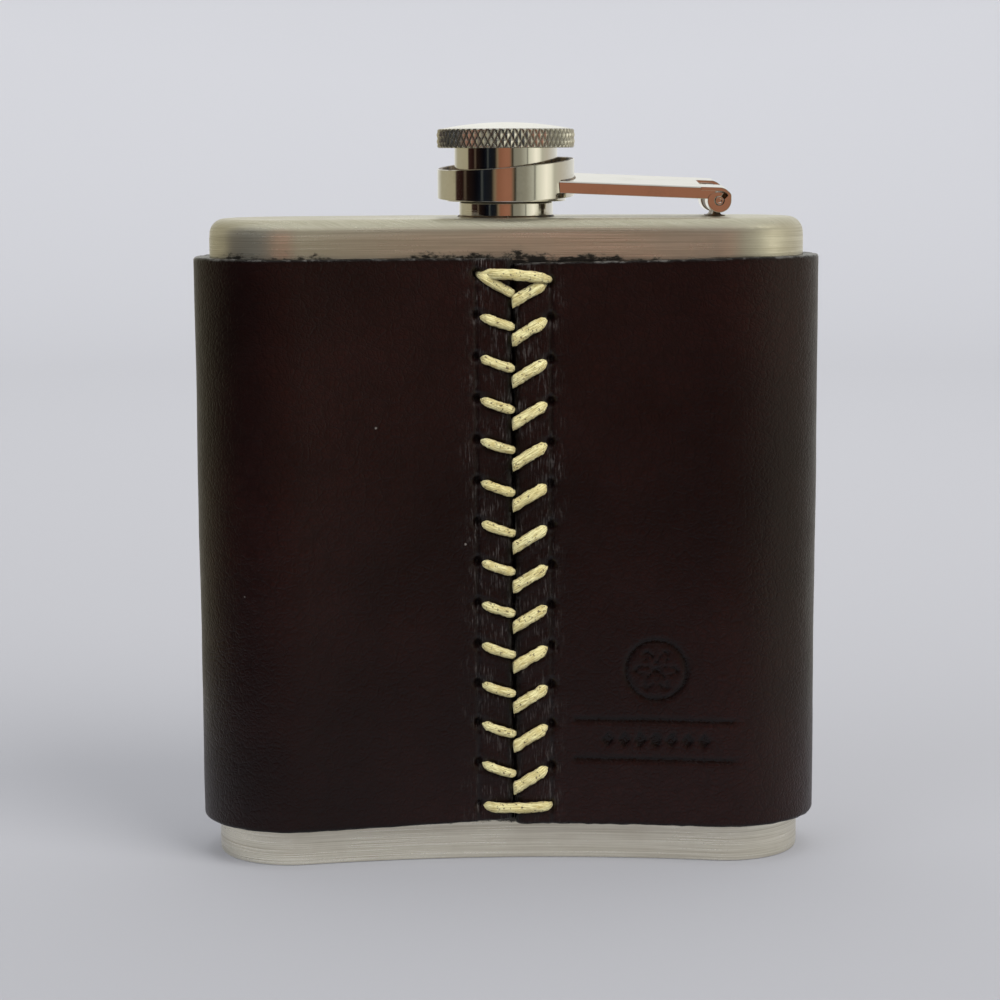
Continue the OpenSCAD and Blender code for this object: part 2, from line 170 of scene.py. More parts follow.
def round_edges(bm, width, angle=40, segments=2):
    """Bevel every edge that turns by more than an angle, so that it catches the light."""
    sharp = [e for e in bm.edges if len(e.link_faces) == 2 and e.calc_face_angle() > radians(angle)]
    bmesh.ops.bevel(
        bm, geom=sharp, offset=width, offset_type="OFFSET", segments=segments, profile=0.5,
        affect="EDGES", clamp_overlap=True, material=-1)


def to_object(bm, name):
    """Turn a bmesh into a smooth object of the scene."""
    mesh = bpy.data.meshes.new(name)
    bm.to_mesh(mesh)
    bm.free()
    mesh.shade_smooth()
    obj = bpy.data.objects.new(name, mesh)
    bpy.context.scene.collection.objects.link(obj)
    return obj


def piece(bm, name, body, nodes, sharp=35, even=True):
    """Turn a bmesh into a piece that rides a body and stands for CAD nodes.

    Even shading lets the large faces set the normals, so a narrow bevel beside a tall
    face doesn't bend its reflections.
    """
    obj = to_object(bm, name)
    obj.data.set_sharp_from_angle(angle=radians(sharp))
    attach(obj, body)
    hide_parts(*nodes)
    if even:
        obj.modifiers.new("even_shading", "WEIGHTED_NORMAL").keep_sharp = True
    triangles = sum(len(polygon.vertices) - 2 for polygon in obj.data.polygons)
    print(f"{name}: {triangles} triangles, rides {body}")
    return obj


# %% [markdown]
# ## Steel shell
# The body is one tube of 0.6 mm sheet with a drawn top welded on. The weld is ground
# flush, but a faint step stays below the rolled shoulder. The top is flat with a round
# hole for the neck: extruding the outline's last loop and pulling it onto a circle makes
# both the flat and the hole, and `solidify` gives the sheet its thickness at the end.

# %% Build the steel shell
SHEET = 0.6 * MM
SHOULDER_R = 2.4 * MM
RIM_TOP = wall_low.z
SPIGOT_R = 6.5 * MM
WELD_DROP = 0.35 * MM  # from the foot of the shoulder down to the weld


def steel_shell():
    weld_z = TOP - SHOULDER_R - WELD_DROP
    step = 0.05 * MM
    outline = [(HALF_T - step, RIM_TOP), (HALF_T, RIM_TOP + 2 * step)]
    outline += [(HALF_T, RIM_TOP + (weld_z - RIM_TOP) * i / 8) for i in range(1, 8)]
    outline += [(HALF_T, weld_z - 4 * step), (HALF_T - step, weld_z)]
    outline += [(HALF_T - 0.6 * step, weld_z + 3 * step)]
    outline += arc(HALF_T - SHOULDER_R - step, TOP - SHOULDER_R, SHOULDER_R, 0, 90, 8)
    bm = bmesh.new()
    sweep_body(bm, outline)
    rim = [e for e in bm.edges if e.is_boundary and e.verts[0].co.z > TOP - 1e-6]
    hole = bmesh.ops.extrude_edge_only(bm, edges=rim)["geom"]
    for vert in [item for item in hole if isinstance(item, bmesh.types.BMVert)]:
        outwards = vert.co - Vector((0, NECK_Y, vert.co.z))
        vert.co = Vector((0, NECK_Y, vert.co.z)) + outwards.normalized() * SPIGOT_R
    tidy(bm)
    bmesh.ops.solidify(bm, geom=list(bm.faces), thickness=SHEET)
    return piece(bm, "steel_shell", "root", ["body_wall", "top_end"], 50)


shell = steel_shell()

# %% [markdown]
# ## Base
# The base is a shallow pressed pan. It stands on a narrow rim, so only the rim touches a
# table, and its plate is set up inside. One outline swept round the body makes it.

# %% Build the base
def base_pan():
    rim_w, rise = 1.5 * MM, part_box("bottom_end")[1].z - SHEET
    r = 0.22 * MM
    outer, inner = HALF_T - 0.06 * MM, HALF_T - rim_w
    outline = [(0, rise + SHEET), (outer - SHEET, rise + SHEET), (outer - SHEET, RIM_TOP)]
    outline += [(outer, RIM_TOP)] + arc(outer - r, r, r, 0, -90, 4) + arc(inner + r, r, r, 270, 180, 4)
    outline += [(inner, rise - r)] + arc(inner - r, rise - r, r, 0, 90, 4) + [(0, rise)]
    bm = bmesh.new()
    sweep_body(bm, outline)
    tidy(bm)
    return piece(bm, "base_pan", "root", ["bottom_end"])


base = base_pan()

# %% [markdown]
# ## Neck and its thread
# The neck is turned, with a collar that seats on the top and a screw thread above it. A
# thread is a small outline that is spun and raised at once: spin's `dvec` is the rise for
# each step. One turn lifts the cap by the pitch that the CAD's coupling states.

# %% Build the neck
couplings = frame["record"]["behaviour"]["couplings"]
PITCH_M = couplings[0]["ratio"] * tau  # rise of the cap for one turn
COLLAR_TOP = TOP + 2.3 * MM
SPOUT_TOP = neck_high.z
SPOUT_R = 6.3 * MM
BORE_R = frame["record"]["mounts"][1]["dims"]["r_mm"] * MM
COLLAR_R = half_width("neck")


def screw_thread(bm, root, crest, z, turns):
    """A ridge that climbs a cylinder. Its two ends sink into the root."""
    half = 0.34 * PITCH_M
    ridge = [(root, z - half), (crest, z - half / 3), (crest, z + half / 3), (root, z + half)]
    before = set(bm.verts)
    steps = int(96 * turns)
    turn(bm, ridge, steps, close=True, rise=PITCH_M * turns, turns=turns)
    rings = [v for v in bm.verts if v not in before]
    fade = 16  # steps over which an end runs out
    for i, vert in enumerate(rings):
        ring = i // len(ridge)
        share = min(1.0, ring / fade, (steps - ring) / fade)
        outwards = (vert.co - NECK) * Vector((1, 1, 0))
        reach = root + (outwards.length - root) * share
        spot = outwards.normalized() * reach
        vert.co = Vector((spot.x, spot.y + NECK_Y, vert.co.z))


def neck():
    root = SPOUT_R - 0.45 * MM
    lip = 0.3 * MM
    seat_r = SPIGOT_R - 0.05 * MM
    outline = [(BORE_R, neck_low.z), (seat_r, neck_low.z), (seat_r, TOP), (COLLAR_R, TOP)]
    outline += arc(COLLAR_R - lip, COLLAR_TOP - lip, lip, 0, 90, 4)
    outline += [(root + lip, COLLAR_TOP)] + arc(root + lip, COLLAR_TOP + lip, lip, 270, 180, 3)
    outline += arc(root - lip, SPOUT_TOP - lip, lip, 0, 90, 4)
    outline += arc(BORE_R + lip, SPOUT_TOP - lip, lip, 90, 180, 4)
    bm = bmesh.new()
    turn(bm, outline)
    tidy(bm)
    screw_thread(bm, root - 0.05 * MM, SPOUT_R, COLLAR_TOP + 1.3 * MM, 3.6)
    bmesh.ops.recalc_face_normals(bm, faces=bm.faces)
    return piece(bm, "neck_spout", "root", ["neck"], 30)


spout = neck()


def foot_weld():
    low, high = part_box("neck_weld")
    radius, height = (half_width("neck_weld") - COLLAR_R) * 0.6, (high.z - low.z) * 0.6
    bm = bmesh.new()
    turn(bm, [(COLLAR_R - 0.1 * MM, TOP - 0.05 * MM)] + [
        (COLLAR_R + radius * cos(a), TOP + height * sin(a)) for a in (0, 0.5, 1.0, pi / 2)])
    for vert in bm.verts:  # hand-laid: the bead is a little uneven
        vert.co.z += 0.06 * MM * noise.noise(vert.co * 900)
    tidy(bm)
    return piece(bm, "foot_weld", "root", ["neck_weld"], 60)


weld = foot_weld()

# %% [markdown]
# ## Knurled cap
# A knurling wheel presses two sets of slanting grooves into the head's edge, and where
# they cross they leave rows of little diamonds. The head is spun with a vertex column for
# each part of a tooth, then each vertex of the band moves in by the deeper of the two
# grooves at its place. The columns and rows match the slant, so the crests stay straight.

# %% Build the cap's head
head_low, head_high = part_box("cap_head")
skirt_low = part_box("cap_skirt")[0]
washer_low, washer_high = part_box("retaining_washer")
HEAD_R, SKIRT_R, WASHER_R = (half_width(name) for name in ("cap_head", "cap_skirt", "retaining_washer"))
TEETH = 64
TOOTH_COLUMNS = 14
KNURL_DEPTH = 0.31 * MM
HEAD_H = 2.9 * MM
HEAD_Z = head_low.z
DOME_H = head_high.z - HEAD_Z - HEAD_H
SLANT = tan(radians(28))  # sideways run of a groove for one unit of height


def groove(phase):
    """How deep in a groove a phase is: 0 on a crest, 1 at the bottom."""
    return 1 - abs(2 * (phase - np.floor(phase)) - 1)


def cap_head():
    chamfer = 0.3 * MM
    band = HEAD_H - 2 * chamfer
    tooth = tau * HEAD_R / TEETH
    row = tooth / (SLANT * TOOTH_COLUMNS)  # one column of slant for each row
    rows = round(band / row)
    dome_foot = HEAD_R - chamfer - 0.1 * MM
    dome_r = (dome_foot ** 2 + DOME_H ** 2) / (2 * DOME_H)
    dome_turn = asin(dome_foot / dome_r)
    outline = [(SKIRT_R - 0.3 * MM, HEAD_Z), (HEAD_R - 1.2 * MM, HEAD_Z), (HEAD_R - chamfer, HEAD_Z)]
    outline += [(HEAD_R - chamfer / 2, HEAD_Z + chamfer / 2)]
    outline += [(HEAD_R, HEAD_Z + chamfer + band * i / rows) for i in range(rows + 1)]
    outline += [(HEAD_R - chamfer / 2, HEAD_Z + HEAD_H - chamfer / 2), (HEAD_R - chamfer, HEAD_Z + HEAD_H)]
    for i in range(13):
        a = dome_turn * (1 - i / 12)
        outline.append((dome_r * sin(a), head_high.z - dome_r * (1 - cos(a))))
    bm = bmesh.new()
    turn(bm, outline, TEETH * TOOTH_COLUMNS, close=False)
    tidy(bm)
    for vert in bm.verts:
        flat = Vector((vert.co.x, vert.co.y - NECK_Y))
        if flat.length < HEAD_R - 1.1 * chamfer or vert.co.z < HEAD_Z + 1e-6:
            continue
        around = TEETH * atan2(flat.y, flat.x) / tau
        climb = (vert.co.z - HEAD_Z) * SLANT / tooth
        depth = max(groove(around + climb), groove(around - climb))
        flat = flat.normalized() * min(flat.length, HEAD_R - KNURL_DEPTH * depth)
        vert.co = Vector((flat.x, flat.y + NECK_Y, vert.co.z))
    return piece(bm, "knurled_head", "cap", ["cap_head"], 24, even=False)


head = cap_head()

# %% [markdown]
# ## Skirt, washer, insert and gasket
# Under the head a polished skirt hides the threaded insert. The washer at its foot keeps
# the cap in the ring. All of them are turned, and they show when the arm swings open.

# %% Build the cap's turned pieces
def turned_piece(outline, name, body, nodes, bevel=0.0):
    bm = bmesh.new()
    turn(bm, outline)
    tidy(bm)
    if bevel:
        round_edges(bm, bevel)
    return piece(bm, name, body, nodes)


def block(inner, outer, z0, z1):
    """Outline of a plain ring, ready to be bevelled."""
    return [(inner, z0), (outer, z0), (outer, z1), (inner, z1)]


insert_low, insert_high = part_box("thread_insert")
gasket_low, gasket_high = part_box("cap_gasket")
INSERT_R, GASKET_R = half_width("thread_insert"), half_width("cap_gasket")
skirt_outline = block(INSERT_R + 0.01 * MM, SKIRT_R, skirt_low.z, HEAD_Z + 0.05 * MM)
skirt = turned_piece(skirt_outline, "cap_skirt_tube", "cap", ["cap_skirt"], 0.12 * MM)
washer_outline = block(SKIRT_R + 0.02 * MM, WASHER_R, washer_low.z, washer_high.z)
washer = turned_piece(
    washer_outline, "cap_washer", "cap_slide", ["retaining_washer"], 0.14 * MM)


def thread_insert():
    bm = bmesh.new()
    bore = INSERT_R - 0.3 * MM
    turn(bm, block(bore, INSERT_R, insert_low.z, insert_high.z))
    tidy(bm)
    round_edges(bm, 0.08 * MM)
    screw_thread(bm, bore + 0.02 * MM, bore - 0.16 * MM, insert_low.z + PITCH_M, 2.6)
    bmesh.ops.recalc_face_normals(bm, faces=bm.faces)
    return piece(bm, "cap_thread", "cap", ["thread_insert"])


insert = thread_insert()
DISH, EDGE_ROUND = 0.12 * MM, 0.3 * MM  # the gasket's dished middle and its round edge
gasket_outline = [(0, gasket_low.z + DISH), (3.6 * MM, gasket_low.z + DISH), (4.4 * MM, gasket_low.z)]
gasket_outline += arc(GASKET_R - EDGE_ROUND, gasket_low.z + EDGE_ROUND, EDGE_ROUND, 270, 360, 4)
gasket_outline += [(GASKET_R, gasket_high.z), (0, gasket_high.z)]
gasket = turned_piece(gasket_outline, "rubber_gasket", "cap", ["cap_gasket"])

# %% [markdown]
# ## Captive ring
# A strip of sheet is rolled into a ring round the cap, a little taller at the hinge side
# than at the front. It is spun as a plain tube whose heights run from 0 to 1, and then
# each height is read as a share of the way between two slanting planes.

# %% Build the ring
RING_R = half_width("collar_ring")
RING_T = 0.8 * MM
RING_ROLL = tan(radians(3))
LIP_R = SKIRT_R + 0.5 * MM
LIP_Z = TOP + 5.8 * MM


def plane(vert, z, slope):
    """Height over a vertex of a plane that slopes along the arm and rolls with the ring."""
    return z + vert.co.x * tan(radians(slope)) + (vert.co.y - NECK_Y) * RING_ROLL


def captive_ring():
    bottom, top = TOP + 3.05 * MM, TOP + 8.2 * MM
    low_lip, high_lip = LIP_Z - 0.4 * MM, LIP_Z + 0.4 * MM
    inner = RING_R - RING_T
    shares = [0.0, (low_lip - bottom) / (top - bottom), (high_lip - bottom) / (top - bottom), 1.0]
    outline = [(inner, 0.0), (RING_R, 0.0), (RING_R, 1.0), (inner, 1.0)]
    outline += [(inner, shares[2]), (LIP_R, shares[2]), (LIP_R, shares[1]), (inner, shares[1])]
    bm = bmesh.new()
    turn(bm, outline)
    for vert in bm.verts:
        low, high = plane(vert, bottom, 1), plane(vert, top, 4.3)
        level_z = plane(vert, bottom + (top - bottom) * vert.co.z, 0)
        on_edge = vert.co.z in (0.0, 1.0)
        vert.co.z = low + (high - low) * vert.co.z if on_edge else level_z
    tidy(bm)
    round_edges(bm, 0.16 * MM, 60)
    # The inside takes the darker heat-tinted finish: it was never polished, and its darkness also stands as
    # painted shade inside the ring.
    for face in bm.faces:  # the inside was never polished
        out = face.calc_center_median() - NECK
        face.material_index = int(Vector((out.x, out.y)).length < RING_R - 0.5 * RING_T)
    return piece(bm, "captive_ring", "arm", ["collar_ring"])


ring = captive_ring()

# %% [markdown]
# ## Hinged arm
# The arm is pressed from one strip: a flat top, two sides folded down, and two tongues at
# the far end that curl round the pin. The channel is its cross-section extruded along the
# arm, and a tongue is its side view extruded across. The ends at the ring are then moved
# onto the ring's cylinder, which is how a fitter would file them before brazing.

# %% Build the arm
ARM_W, ARM_T, ARM_SIDE = 14.4 * MM, 0.6 * MM, 1.85 * MM
ARM_OVER = 2.65 * MM  # top face above the pin
KNUCKLE_R = 1.85 * MM
MID_KNUCKLE = 6 * MM
SLOT_L = KNUCKLE_R + 0.75 * MM
PIN_R = 0.65 * MM
ARM_FALL, ARM_ROLL = radians(2.1), radians(5)
pin_place = Matrix.Translation(PIN)
level_place = pin_place @ Matrix.Translation((0, 0, ARM_OVER))
arm_place = level_place @ Matrix.Rotation(ARM_FALL, 4, "Y") @ Matrix.Rotation(ARM_ROLL, 4, "X")


def extrude_outline(bm, points, along, place):
    """A closed outline becomes a solid bar along one direction."""
    verts, _ = chain(bm, [place @ Vector(p) for p in points], True)
    face = bm.faces.new(verts)
    new = bmesh.ops.extrude_face_region(bm, geom=[face], use_keep_orig=True)["geom"]
    shift = place.to_3x3() @ Vector(along)
    bmesh.ops.translate(bm, verts=[v for v in new if isinstance(v, bmesh.types.BMVert)], vec=shift)


def channel_outline():
    """The arm's cross-section: an upside-down channel with rounded folds."""
    half, fold = ARM_W / 2, 0.32 * MM
    outer = [(half, -ARM_SIDE)] + arc(half - fold, -fold, fold, 0, 90, 5)
    inner = [(half - ARM_T, -ARM_T), (half - ARM_T, -ARM_SIDE)]
    mirrored = [(-y, z) for y, z in reversed(outer)]
    return outer + mirrored + [(-y, z) for y, z in reversed(inner)] + inner


def hinge_arm():
    bm = bmesh.new()
    length = PIN.x - 4 * MM
    section = [(-length, y, z) for y, z in channel_outline()]
    extrude_outline(bm, section, (length - SLOT_L, 0, 0), arm_place)
    for vert in bm.verts:  # the end that meets the ring
        if vert.co.x < PIN.x - 0.6 * length:
            vert.co.x = sqrt((RING_R + 0.02 * MM) ** 2 - (vert.co.y - NECK_Y) ** 2)
    # Side view of a tongue: over the top, round the corner, down and round the pin.
    corner, eye = 1.75 * MM, KNUCKLE_R - PIN_R - 0.06 * MM
    down, curl_end = -ARM_OVER, -292
    inside = -SLOT_L - 0.3 * MM  # a tongue starts a little inside the channel
    tongue = [(inside, 0)] + arc(KNUCKLE_R - corner, -corner, corner, 90, 0, 8)
    tongue += arc(0, down, KNUCKLE_R, 0, curl_end, 28)
    tongue += arc(0, down, KNUCKLE_R - eye, curl_end, 15, 28)
    tongue += arc(KNUCKLE_R - corner, -corner, corner - ARM_T, 0, 90, 6) + [(inside, -ARM_T)]
    width = (ARM_W - MID_KNUCKLE) / 2 - 0.15 * MM
    before = set(bm.verts)
    for y in (-ARM_W / 2, ARM_W / 2 - width):
        extrude_outline(bm, [(x, y, z) for x, z in tongue], (0, width, 0), level_place)
    low = 0.5 * MM
    for vert in set(bm.verts) - before:  # the top of a tongue carries on from the sloping arm
        local = vert.co - PIN
        share = min(1.0, max(0.0, (local.z - low) / (ARM_OVER - ARM_T - low)))
        lift = local.y * tan(ARM_ROLL) - local.x * tan(ARM_FALL)
        if lift > 0:  # a raised corner would meet the body when the arm is open
            share *= min(1.0, max(0.0, 1 - local.x / (1.2 * MM)))
        vert.co.z += share * lift
    # The folded sides run on to the eyes and end in a rounded corner.
    flange = [(inside, -0.3 * MM), (-0.4 * MM, -0.3 * MM)]
    flange += arc(-1.1 * MM, 0.4 * MM - ARM_SIDE, 0.4 * MM, 0, -90, 4) + [(inside, -ARM_SIDE)]
    for y in (-ARM_W / 2, ARM_W / 2 - ARM_T):
        extrude_outline(bm, [(x, y, z) for x, z in flange], (0, ARM_T, 0), arm_place)
    tidy(bm, 1e-8)
    round_edges(bm, 0.13 * MM, 50)
    return piece(bm, "hinge_arm_plate", "arm", ["hinge_arm"])


arm = hinge_arm()


def ring_braze():
    """A bead of braze in the corner between the ring and the arm's underside."""
    low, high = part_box("ring_braze")
    bm = bmesh.new()
    radius = 0.45 * MM
    span = asin((high.y - low.y) / 2 / RING_R)
    corner_r, corner_z = RING_R - 0.1 * MM, high.z - 0.15 * MM
    outline = arc(corner_r, corner_z, radius, 0, 315, 7)
    verts, edges = chain(bm, [(r, NECK_Y, z) for r, z in outline], True)
    bmesh.ops.rotate(bm, verts=verts, cent=NECK, matrix=Matrix.Rotation(-span, 3, "Z"))
    bm.faces.new(verts)
    last = bmesh.ops.spin(bm, geom=verts + edges, cent=NECK, axis=(0, 0, 1), angle=2 * span, steps=40,
                          use_merge=False)["geom_last"]
    bm.faces.new([item for item in last if isinstance(item, bmesh.types.BMVert)])
    for vert in bm.verts:
        vert.co.z += (vert.co.y - NECK_Y) * tan(ARM_ROLL) * 0.9 + 0.05 * MM * noise.noise(vert.co * 1500)
    tidy(bm)
    return piece(bm, "braze_bead", "arm", ["ring_braze"], 60)


braze = ring_braze()

# %% [markdown]
# ## Hinge bracket and pin
# The bracket's foot is welded to the top, and its post carries the middle knuckle. Half of
# its side view is drawn with arcs, mirrored, and extruded to the knuckle's length. The
# pin's ends are hammered a little hollow, so the outline dips before the middle.

# %% Build the bracket and the pin
def hinge_bracket():
    foot, post = 1.35 * MM, 0.55 * MM
    rise = PIN.z - TOP
    knuckle = KNUCKLE_R - 0.15 * MM
    meet = asin(post / knuckle)
    side = [(foot, -rise), (foot, 0.15 * MM - rise)]
    side += arc(post + 0.5 * MM, 0.65 * MM - rise, 0.5 * MM, 270, 180, 6)
    angles = [-pi / 2 + meet + (pi - meet) * i / 16 for i in range(17)]
    side += [(knuckle * cos(a), knuckle * sin(a)) for a in angles]
    outline = side + [(-x, z) for x, z in reversed(side[:-1])]
    bm = bmesh.new()
    extrude_outline(bm, [(x, -MID_KNUCKLE / 2, z) for x, z in outline], (0, MID_KNUCKLE, 0), pin_place)
    tidy(bm)
    round_edges(bm, 0.12 * MM, 50)
    return piece(bm, "bracket_post", "root", ["hinge_bracket"])


def hinge_pin():
    half, flare = ARM_W / 2, 0.12 * MM
    bm = bmesh.new()
    near_end = [(0, flare - half), (0.4 * PIN_R, flare - half), (0.6 * PIN_R, -half)]
    near_end += [(PIN_R - flare / 2, -half), (PIN_R, flare / 2 - half)]
    outline = near_end + [(r, -y) for r, y in reversed(near_end)]
    verts, edges = chain(bm, [(r, y, 0) for r, y in outline])
    bmesh.ops.spin(
        bm, geom=verts + edges, cent=(0, 0, 0), axis=(0, 1, 0), angle=tau, steps=32, use_merge=True)
    bmesh.ops.transform(bm, matrix=pin_place, verts=bm.verts)
    tidy(bm)
    return piece(bm, "hinge_pin_rod", "root", ["hinge_pin"])


bracket = hinge_bracket()
pin = hinge_pin()

# %% [markdown]
# ## Lacing pattern
# The sewer punches a column of holes down each side of the seam. Each stitch starts in a
# hole and slants down into the seam, so the two legs of a pair form a V. The first pair is
# closed by a bar across the top, and one level stitch ends the row. The CAD nodes give the
# heights of the first and last holes, and the leather's own grooves need the same pattern,
# so it is worked out here once for both.

# %% Work out where every stitch lies
SEAM_X, SEAM_GAP = 0.6 * MM, 0.6 * MM
LEFT_REACH, RIGHT_REACH = 5.4 * MM, 5.6 * MM
RIGHT_LOWER = 0.4 * MM
THREAD_R = 0.8 * MM
STITCH_PITCH = 6.3 * MM
FIRST_Z = leather_high.z - 2.45 * MM
BOTTOM_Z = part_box("bottom_lock_stitch")[0].z + THREAD_R
stitch_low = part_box("stitches_left")[0].z
STITCH_COUNT = 1 + round((FIRST_Z - 2.2 * MM - THREAD_R - stitch_low) / STITCH_PITCH)
HOLE_X = {-1: SEAM_X - LEFT_REACH, 1: SEAM_X + RIGHT_REACH}
FALL = {-1: 1.8 * MM, 1: 3.2 * MM}


def stitch(side, k, wander=0.25 * MM):
    """Hole and seam point (x, z) of stitch k on one side, with a hand's unevenness."""
    slip = noise.noise(Vector((3.7 * k, 11.0 * side, 0.5))) * wander
    lean = noise.noise(Vector((5.1 * k, 7.0 * side, 2.5))) * wander
    z = FIRST_Z - k * STITCH_PITCH + slip - (RIGHT_LOWER if side > 0 else 0)
    if k == 0 and side > 0:  # its upper end lies under the bar
        return (HOLE_X[1] - 0.6 * MM, z - 0.9 * MM), (SEAM_X + 0.2 * MM, z - 3.6 * MM)
    extra = 1.2 * MM if k == 0 else 0
    edge_x = SEAM_X + (0.20 * MM if side > 0 else 0.05 * MM)
    return (HOLE_X[side], z), (edge_x, z - FALL[side] - extra + lean)


slants = {side: [stitch(side, k) for k in range(STITCH_COUNT)] for side in (-1, 1)}
BAR_Z = FIRST_Z - 0.35 * MM
bars = {"top": ((HOLE_X[-1], BAR_Z + 0.3 * MM), (HOLE_X[1], BAR_Z - 0.5 * MM)),
        "bottom": ((HOLE_X[-1], BOTTOM_Z), (HOLE_X[1], BOTTOM_Z))}
print(f"{STITCH_COUNT} pairs of stitches, the last level bar at {BOTTOM_Z / MM:.1f} mm")

# %% [markdown]
# ## Leather wrap
# The wrap is one strip of 2.4 mm leather, bent round the body and pulled together by the
# thread. Its face is a grid: a vertical line of vertices is spun round the kidney, with
# close columns near the seam and under the tooled mark and wide ones elsewhere. Then the
# face is pressed in, by a height function, where the real hide is: a rolled edge at the
# seam, a bed for each stitch, a pit at each hole, a creased line through the holes, and
# puckers between them. The back is only ever seen in the gap, so it is one face a column.

# %% Spin the leather's face
FACE_R = MID_R - LEATHER_OUT  # radius of the hollow front face
LEATHER_T = 2.4 * MM
WRAP_LOW, WRAP_HIGH = leather_low.z, leather_high.z
MARK_DEPTH = 0.42 * MM
LACED = 9 * MM  # half the strip where the lacing marks the leather
FINE, MARKED, PLAIN = 0.26 * MM, 0.36 * MM, 1.4 * MM  # widths of the grid's columns


def face_y(x):
    """Where the leather's front face is at x."""
    return ARC_Y + sqrt(FACE_R ** 2 - x ** 2)


def leather_rows():
    """Heights of the grid's rows: close at both cut edges, even between."""
    edge = [0.0, 0.05 * MM, 0.13 * MM, 0.25 * MM, 0.42 * MM, 0.65 * MM]
    span = WRAP_HIGH - WRAP_LOW
    inner = span - 2 * edge[-1]
    count = round(inner / (0.39 * MM))
    middle = [edge[-1] + inner * i / count for i in range(1, count)]
    return edge + middle + [span - e for e in reversed(edge)]


def leather_grid(bm):
    """Spin a line of vertices from the seam's right edge round the body to its left edge."""
    start, stop = SEAM_X + SEAM_GAP / 2, SEAM_X - SEAM_GAP / 2
    verts, edges = chain(bm, [(start, face_y(start), WRAP_LOW + z) for z in leather_rows()])
    places = (start, SEAM_X + LACED, SEAM_X - LACED, stop)
    first, laced_right, laced_left, last = (asin(x / FACE_R) for x in places)
    legs = [(ARC_CENTRE, first - laced_right, FINE, FACE_R),
            (ARC_CENTRE, laced_right - END_TURN, MARKED, FACE_R),
            (RIGHT_END, pi, PLAIN, LEATHER_OUT), (ARC_CENTRE, 2 * END_TURN, PLAIN, MID_R + LEATHER_OUT),
            (LEFT_END, pi, PLAIN, LEATHER_OUT), (ARC_CENTRE, -END_TURN - laced_left, PLAIN, FACE_R),
            (ARC_CENTRE, laced_left - last, FINE, FACE_R)]
    spin_legs(bm, verts + edges, [
        (centre, angle, max(2, round(abs(angle) * radius / width))) for centre, angle, width, radius in legs])


# %% Heights of the leather's face
def near_line(x, z, start, end):
    """Distance of each point from a straight run, and how far along it lies."""
    run = np.array(end) - np.array(start)
    share = ((x - start[0]) * run[0] + (z - start[1]) * run[1]) / (run @ run)
    share = np.clip(share, 0, 1)
    return np.hypot(x - start[0] - share * run[0], z - start[1] - share * run[1])


def bump(distance, width):
    """1 on a line or spot, falling softly to 0 over about a width."""
    return np.exp(-(distance / width) ** 2)


def mark_depth(x, z):
    """The tooled mark: a rosette in a ring, over two lines with a row of diamonds."""
    cx, cz, radius = 22.4 * MM, 30.5 * MM, 4.6 * MM
    upper_line, row_z, lower_line = 22.6 * MM, 19.5 * MM, 16.4 * MM
    half_line, cell, half_row = 12.5 * MM, 2.45 * MM, 3.5
    away = np.hypot(x - cx, z - cz)
    around = np.arctan2(z - cz, x - cx)
    pressed = bump(away - radius, 0.36 * MM)
    petal = radius * 0.7 * np.abs(np.cos(3 * around))
    pressed = np.maximum(pressed, bump(away - petal, 0.28 * MM) * (away < radius * 0.85))
    pressed = np.maximum(pressed, bump(away, 0.7 * MM))
    across = np.abs(x - cx) < half_line
    for height in (upper_line, lower_line):
        pressed = np.maximum(pressed, bump(z - height, 0.32 * MM) * across)
    u = (x - cx + cell / 2) / cell
    u = np.abs(u - np.floor(u) - 0.5) * cell
    diamond = u * 1.25 + np.abs(z - row_z)
    return np.maximum(pressed, (diamond < 1.3 * MM) * 0.8 * (np.abs(x - cx) < half_row * cell))


LINE_DEPTH = 0.22 * MM  # the crease through a column of holes
BED_DEPTH, PUCKER, BED_W = 0.42 * MM, 0.12 * MM, 0.8 * MM  # under a thread, and the swelling beside it
PIT_DEPTH, TUG_DEPTH = 0.95 * MM, 0.10 * MM  # a hole, and the hollow where the thread pulls
BAR_BED_DEPTH, BAR_PIT_DEPTH = 0.3 * MM, 0.6 * MM


def leather_relief(x, z):
    """How far in the front face is pressed at (x, z), and how deep in a crease."""
    side = np.where(x > SEAM_X, 1, -1)
    from_edge = np.abs(x - SEAM_X) - SEAM_GAP / 2
    roll = 1.0 * MM
    deep = roll - np.sqrt(np.maximum(roll ** 2 - np.maximum(roll - from_edge, 0) ** 2, 0))
    deep = np.minimum(deep, roll)
    crease = bump(from_edge, 0.45 * MM)
    between = (x > HOLE_X[-1]) & (x < HOLE_X[1])
    for s in (-1, 1):
        line = bump(x - HOLE_X[s] - s * 0.15 * MM, 0.3 * MM)
        deep = deep + LINE_DEPTH * line
        crease = np.maximum(crease, 0.75 * line)
        for start, end in slants[s]:
            away = near_line(x, z, start, end)
            bed = bump(away, BED_W) * (side == s)
            deep = deep + BED_DEPTH * bed
            deep = deep - PUCKER * bump(away - 1.5 * MM, 0.5 * MM) * (side == s) * between
            crease = np.maximum(crease, 0.75 * bed)
            pit = bump(np.hypot(x - start[0] - s * 0.2 * MM, z - start[1]), 0.52 * MM)
            deep = deep + PIT_DEPTH * pit
            crease = np.maximum(crease, pit)
            tug = bump(np.hypot(x - start[0] - s * 0.9 * MM, (z - start[1]) * 1.6), 0.9 * MM)
            deep = deep + TUG_DEPTH * tug
    for start, end in bars.values():
        away = near_line(x, z, start, end)
        deep = deep + BAR_BED_DEPTH * bump(away, BED_W)
        crease = np.maximum(crease, 0.7 * bump(away, BED_W))
        for spot in (start, end):
            pit = bump(np.hypot(x - spot[0], z - spot[1]), 0.6 * MM)
            deep = deep + BAR_PIT_DEPTH * pit
            crease = np.maximum(crease, pit)
    return deep, crease


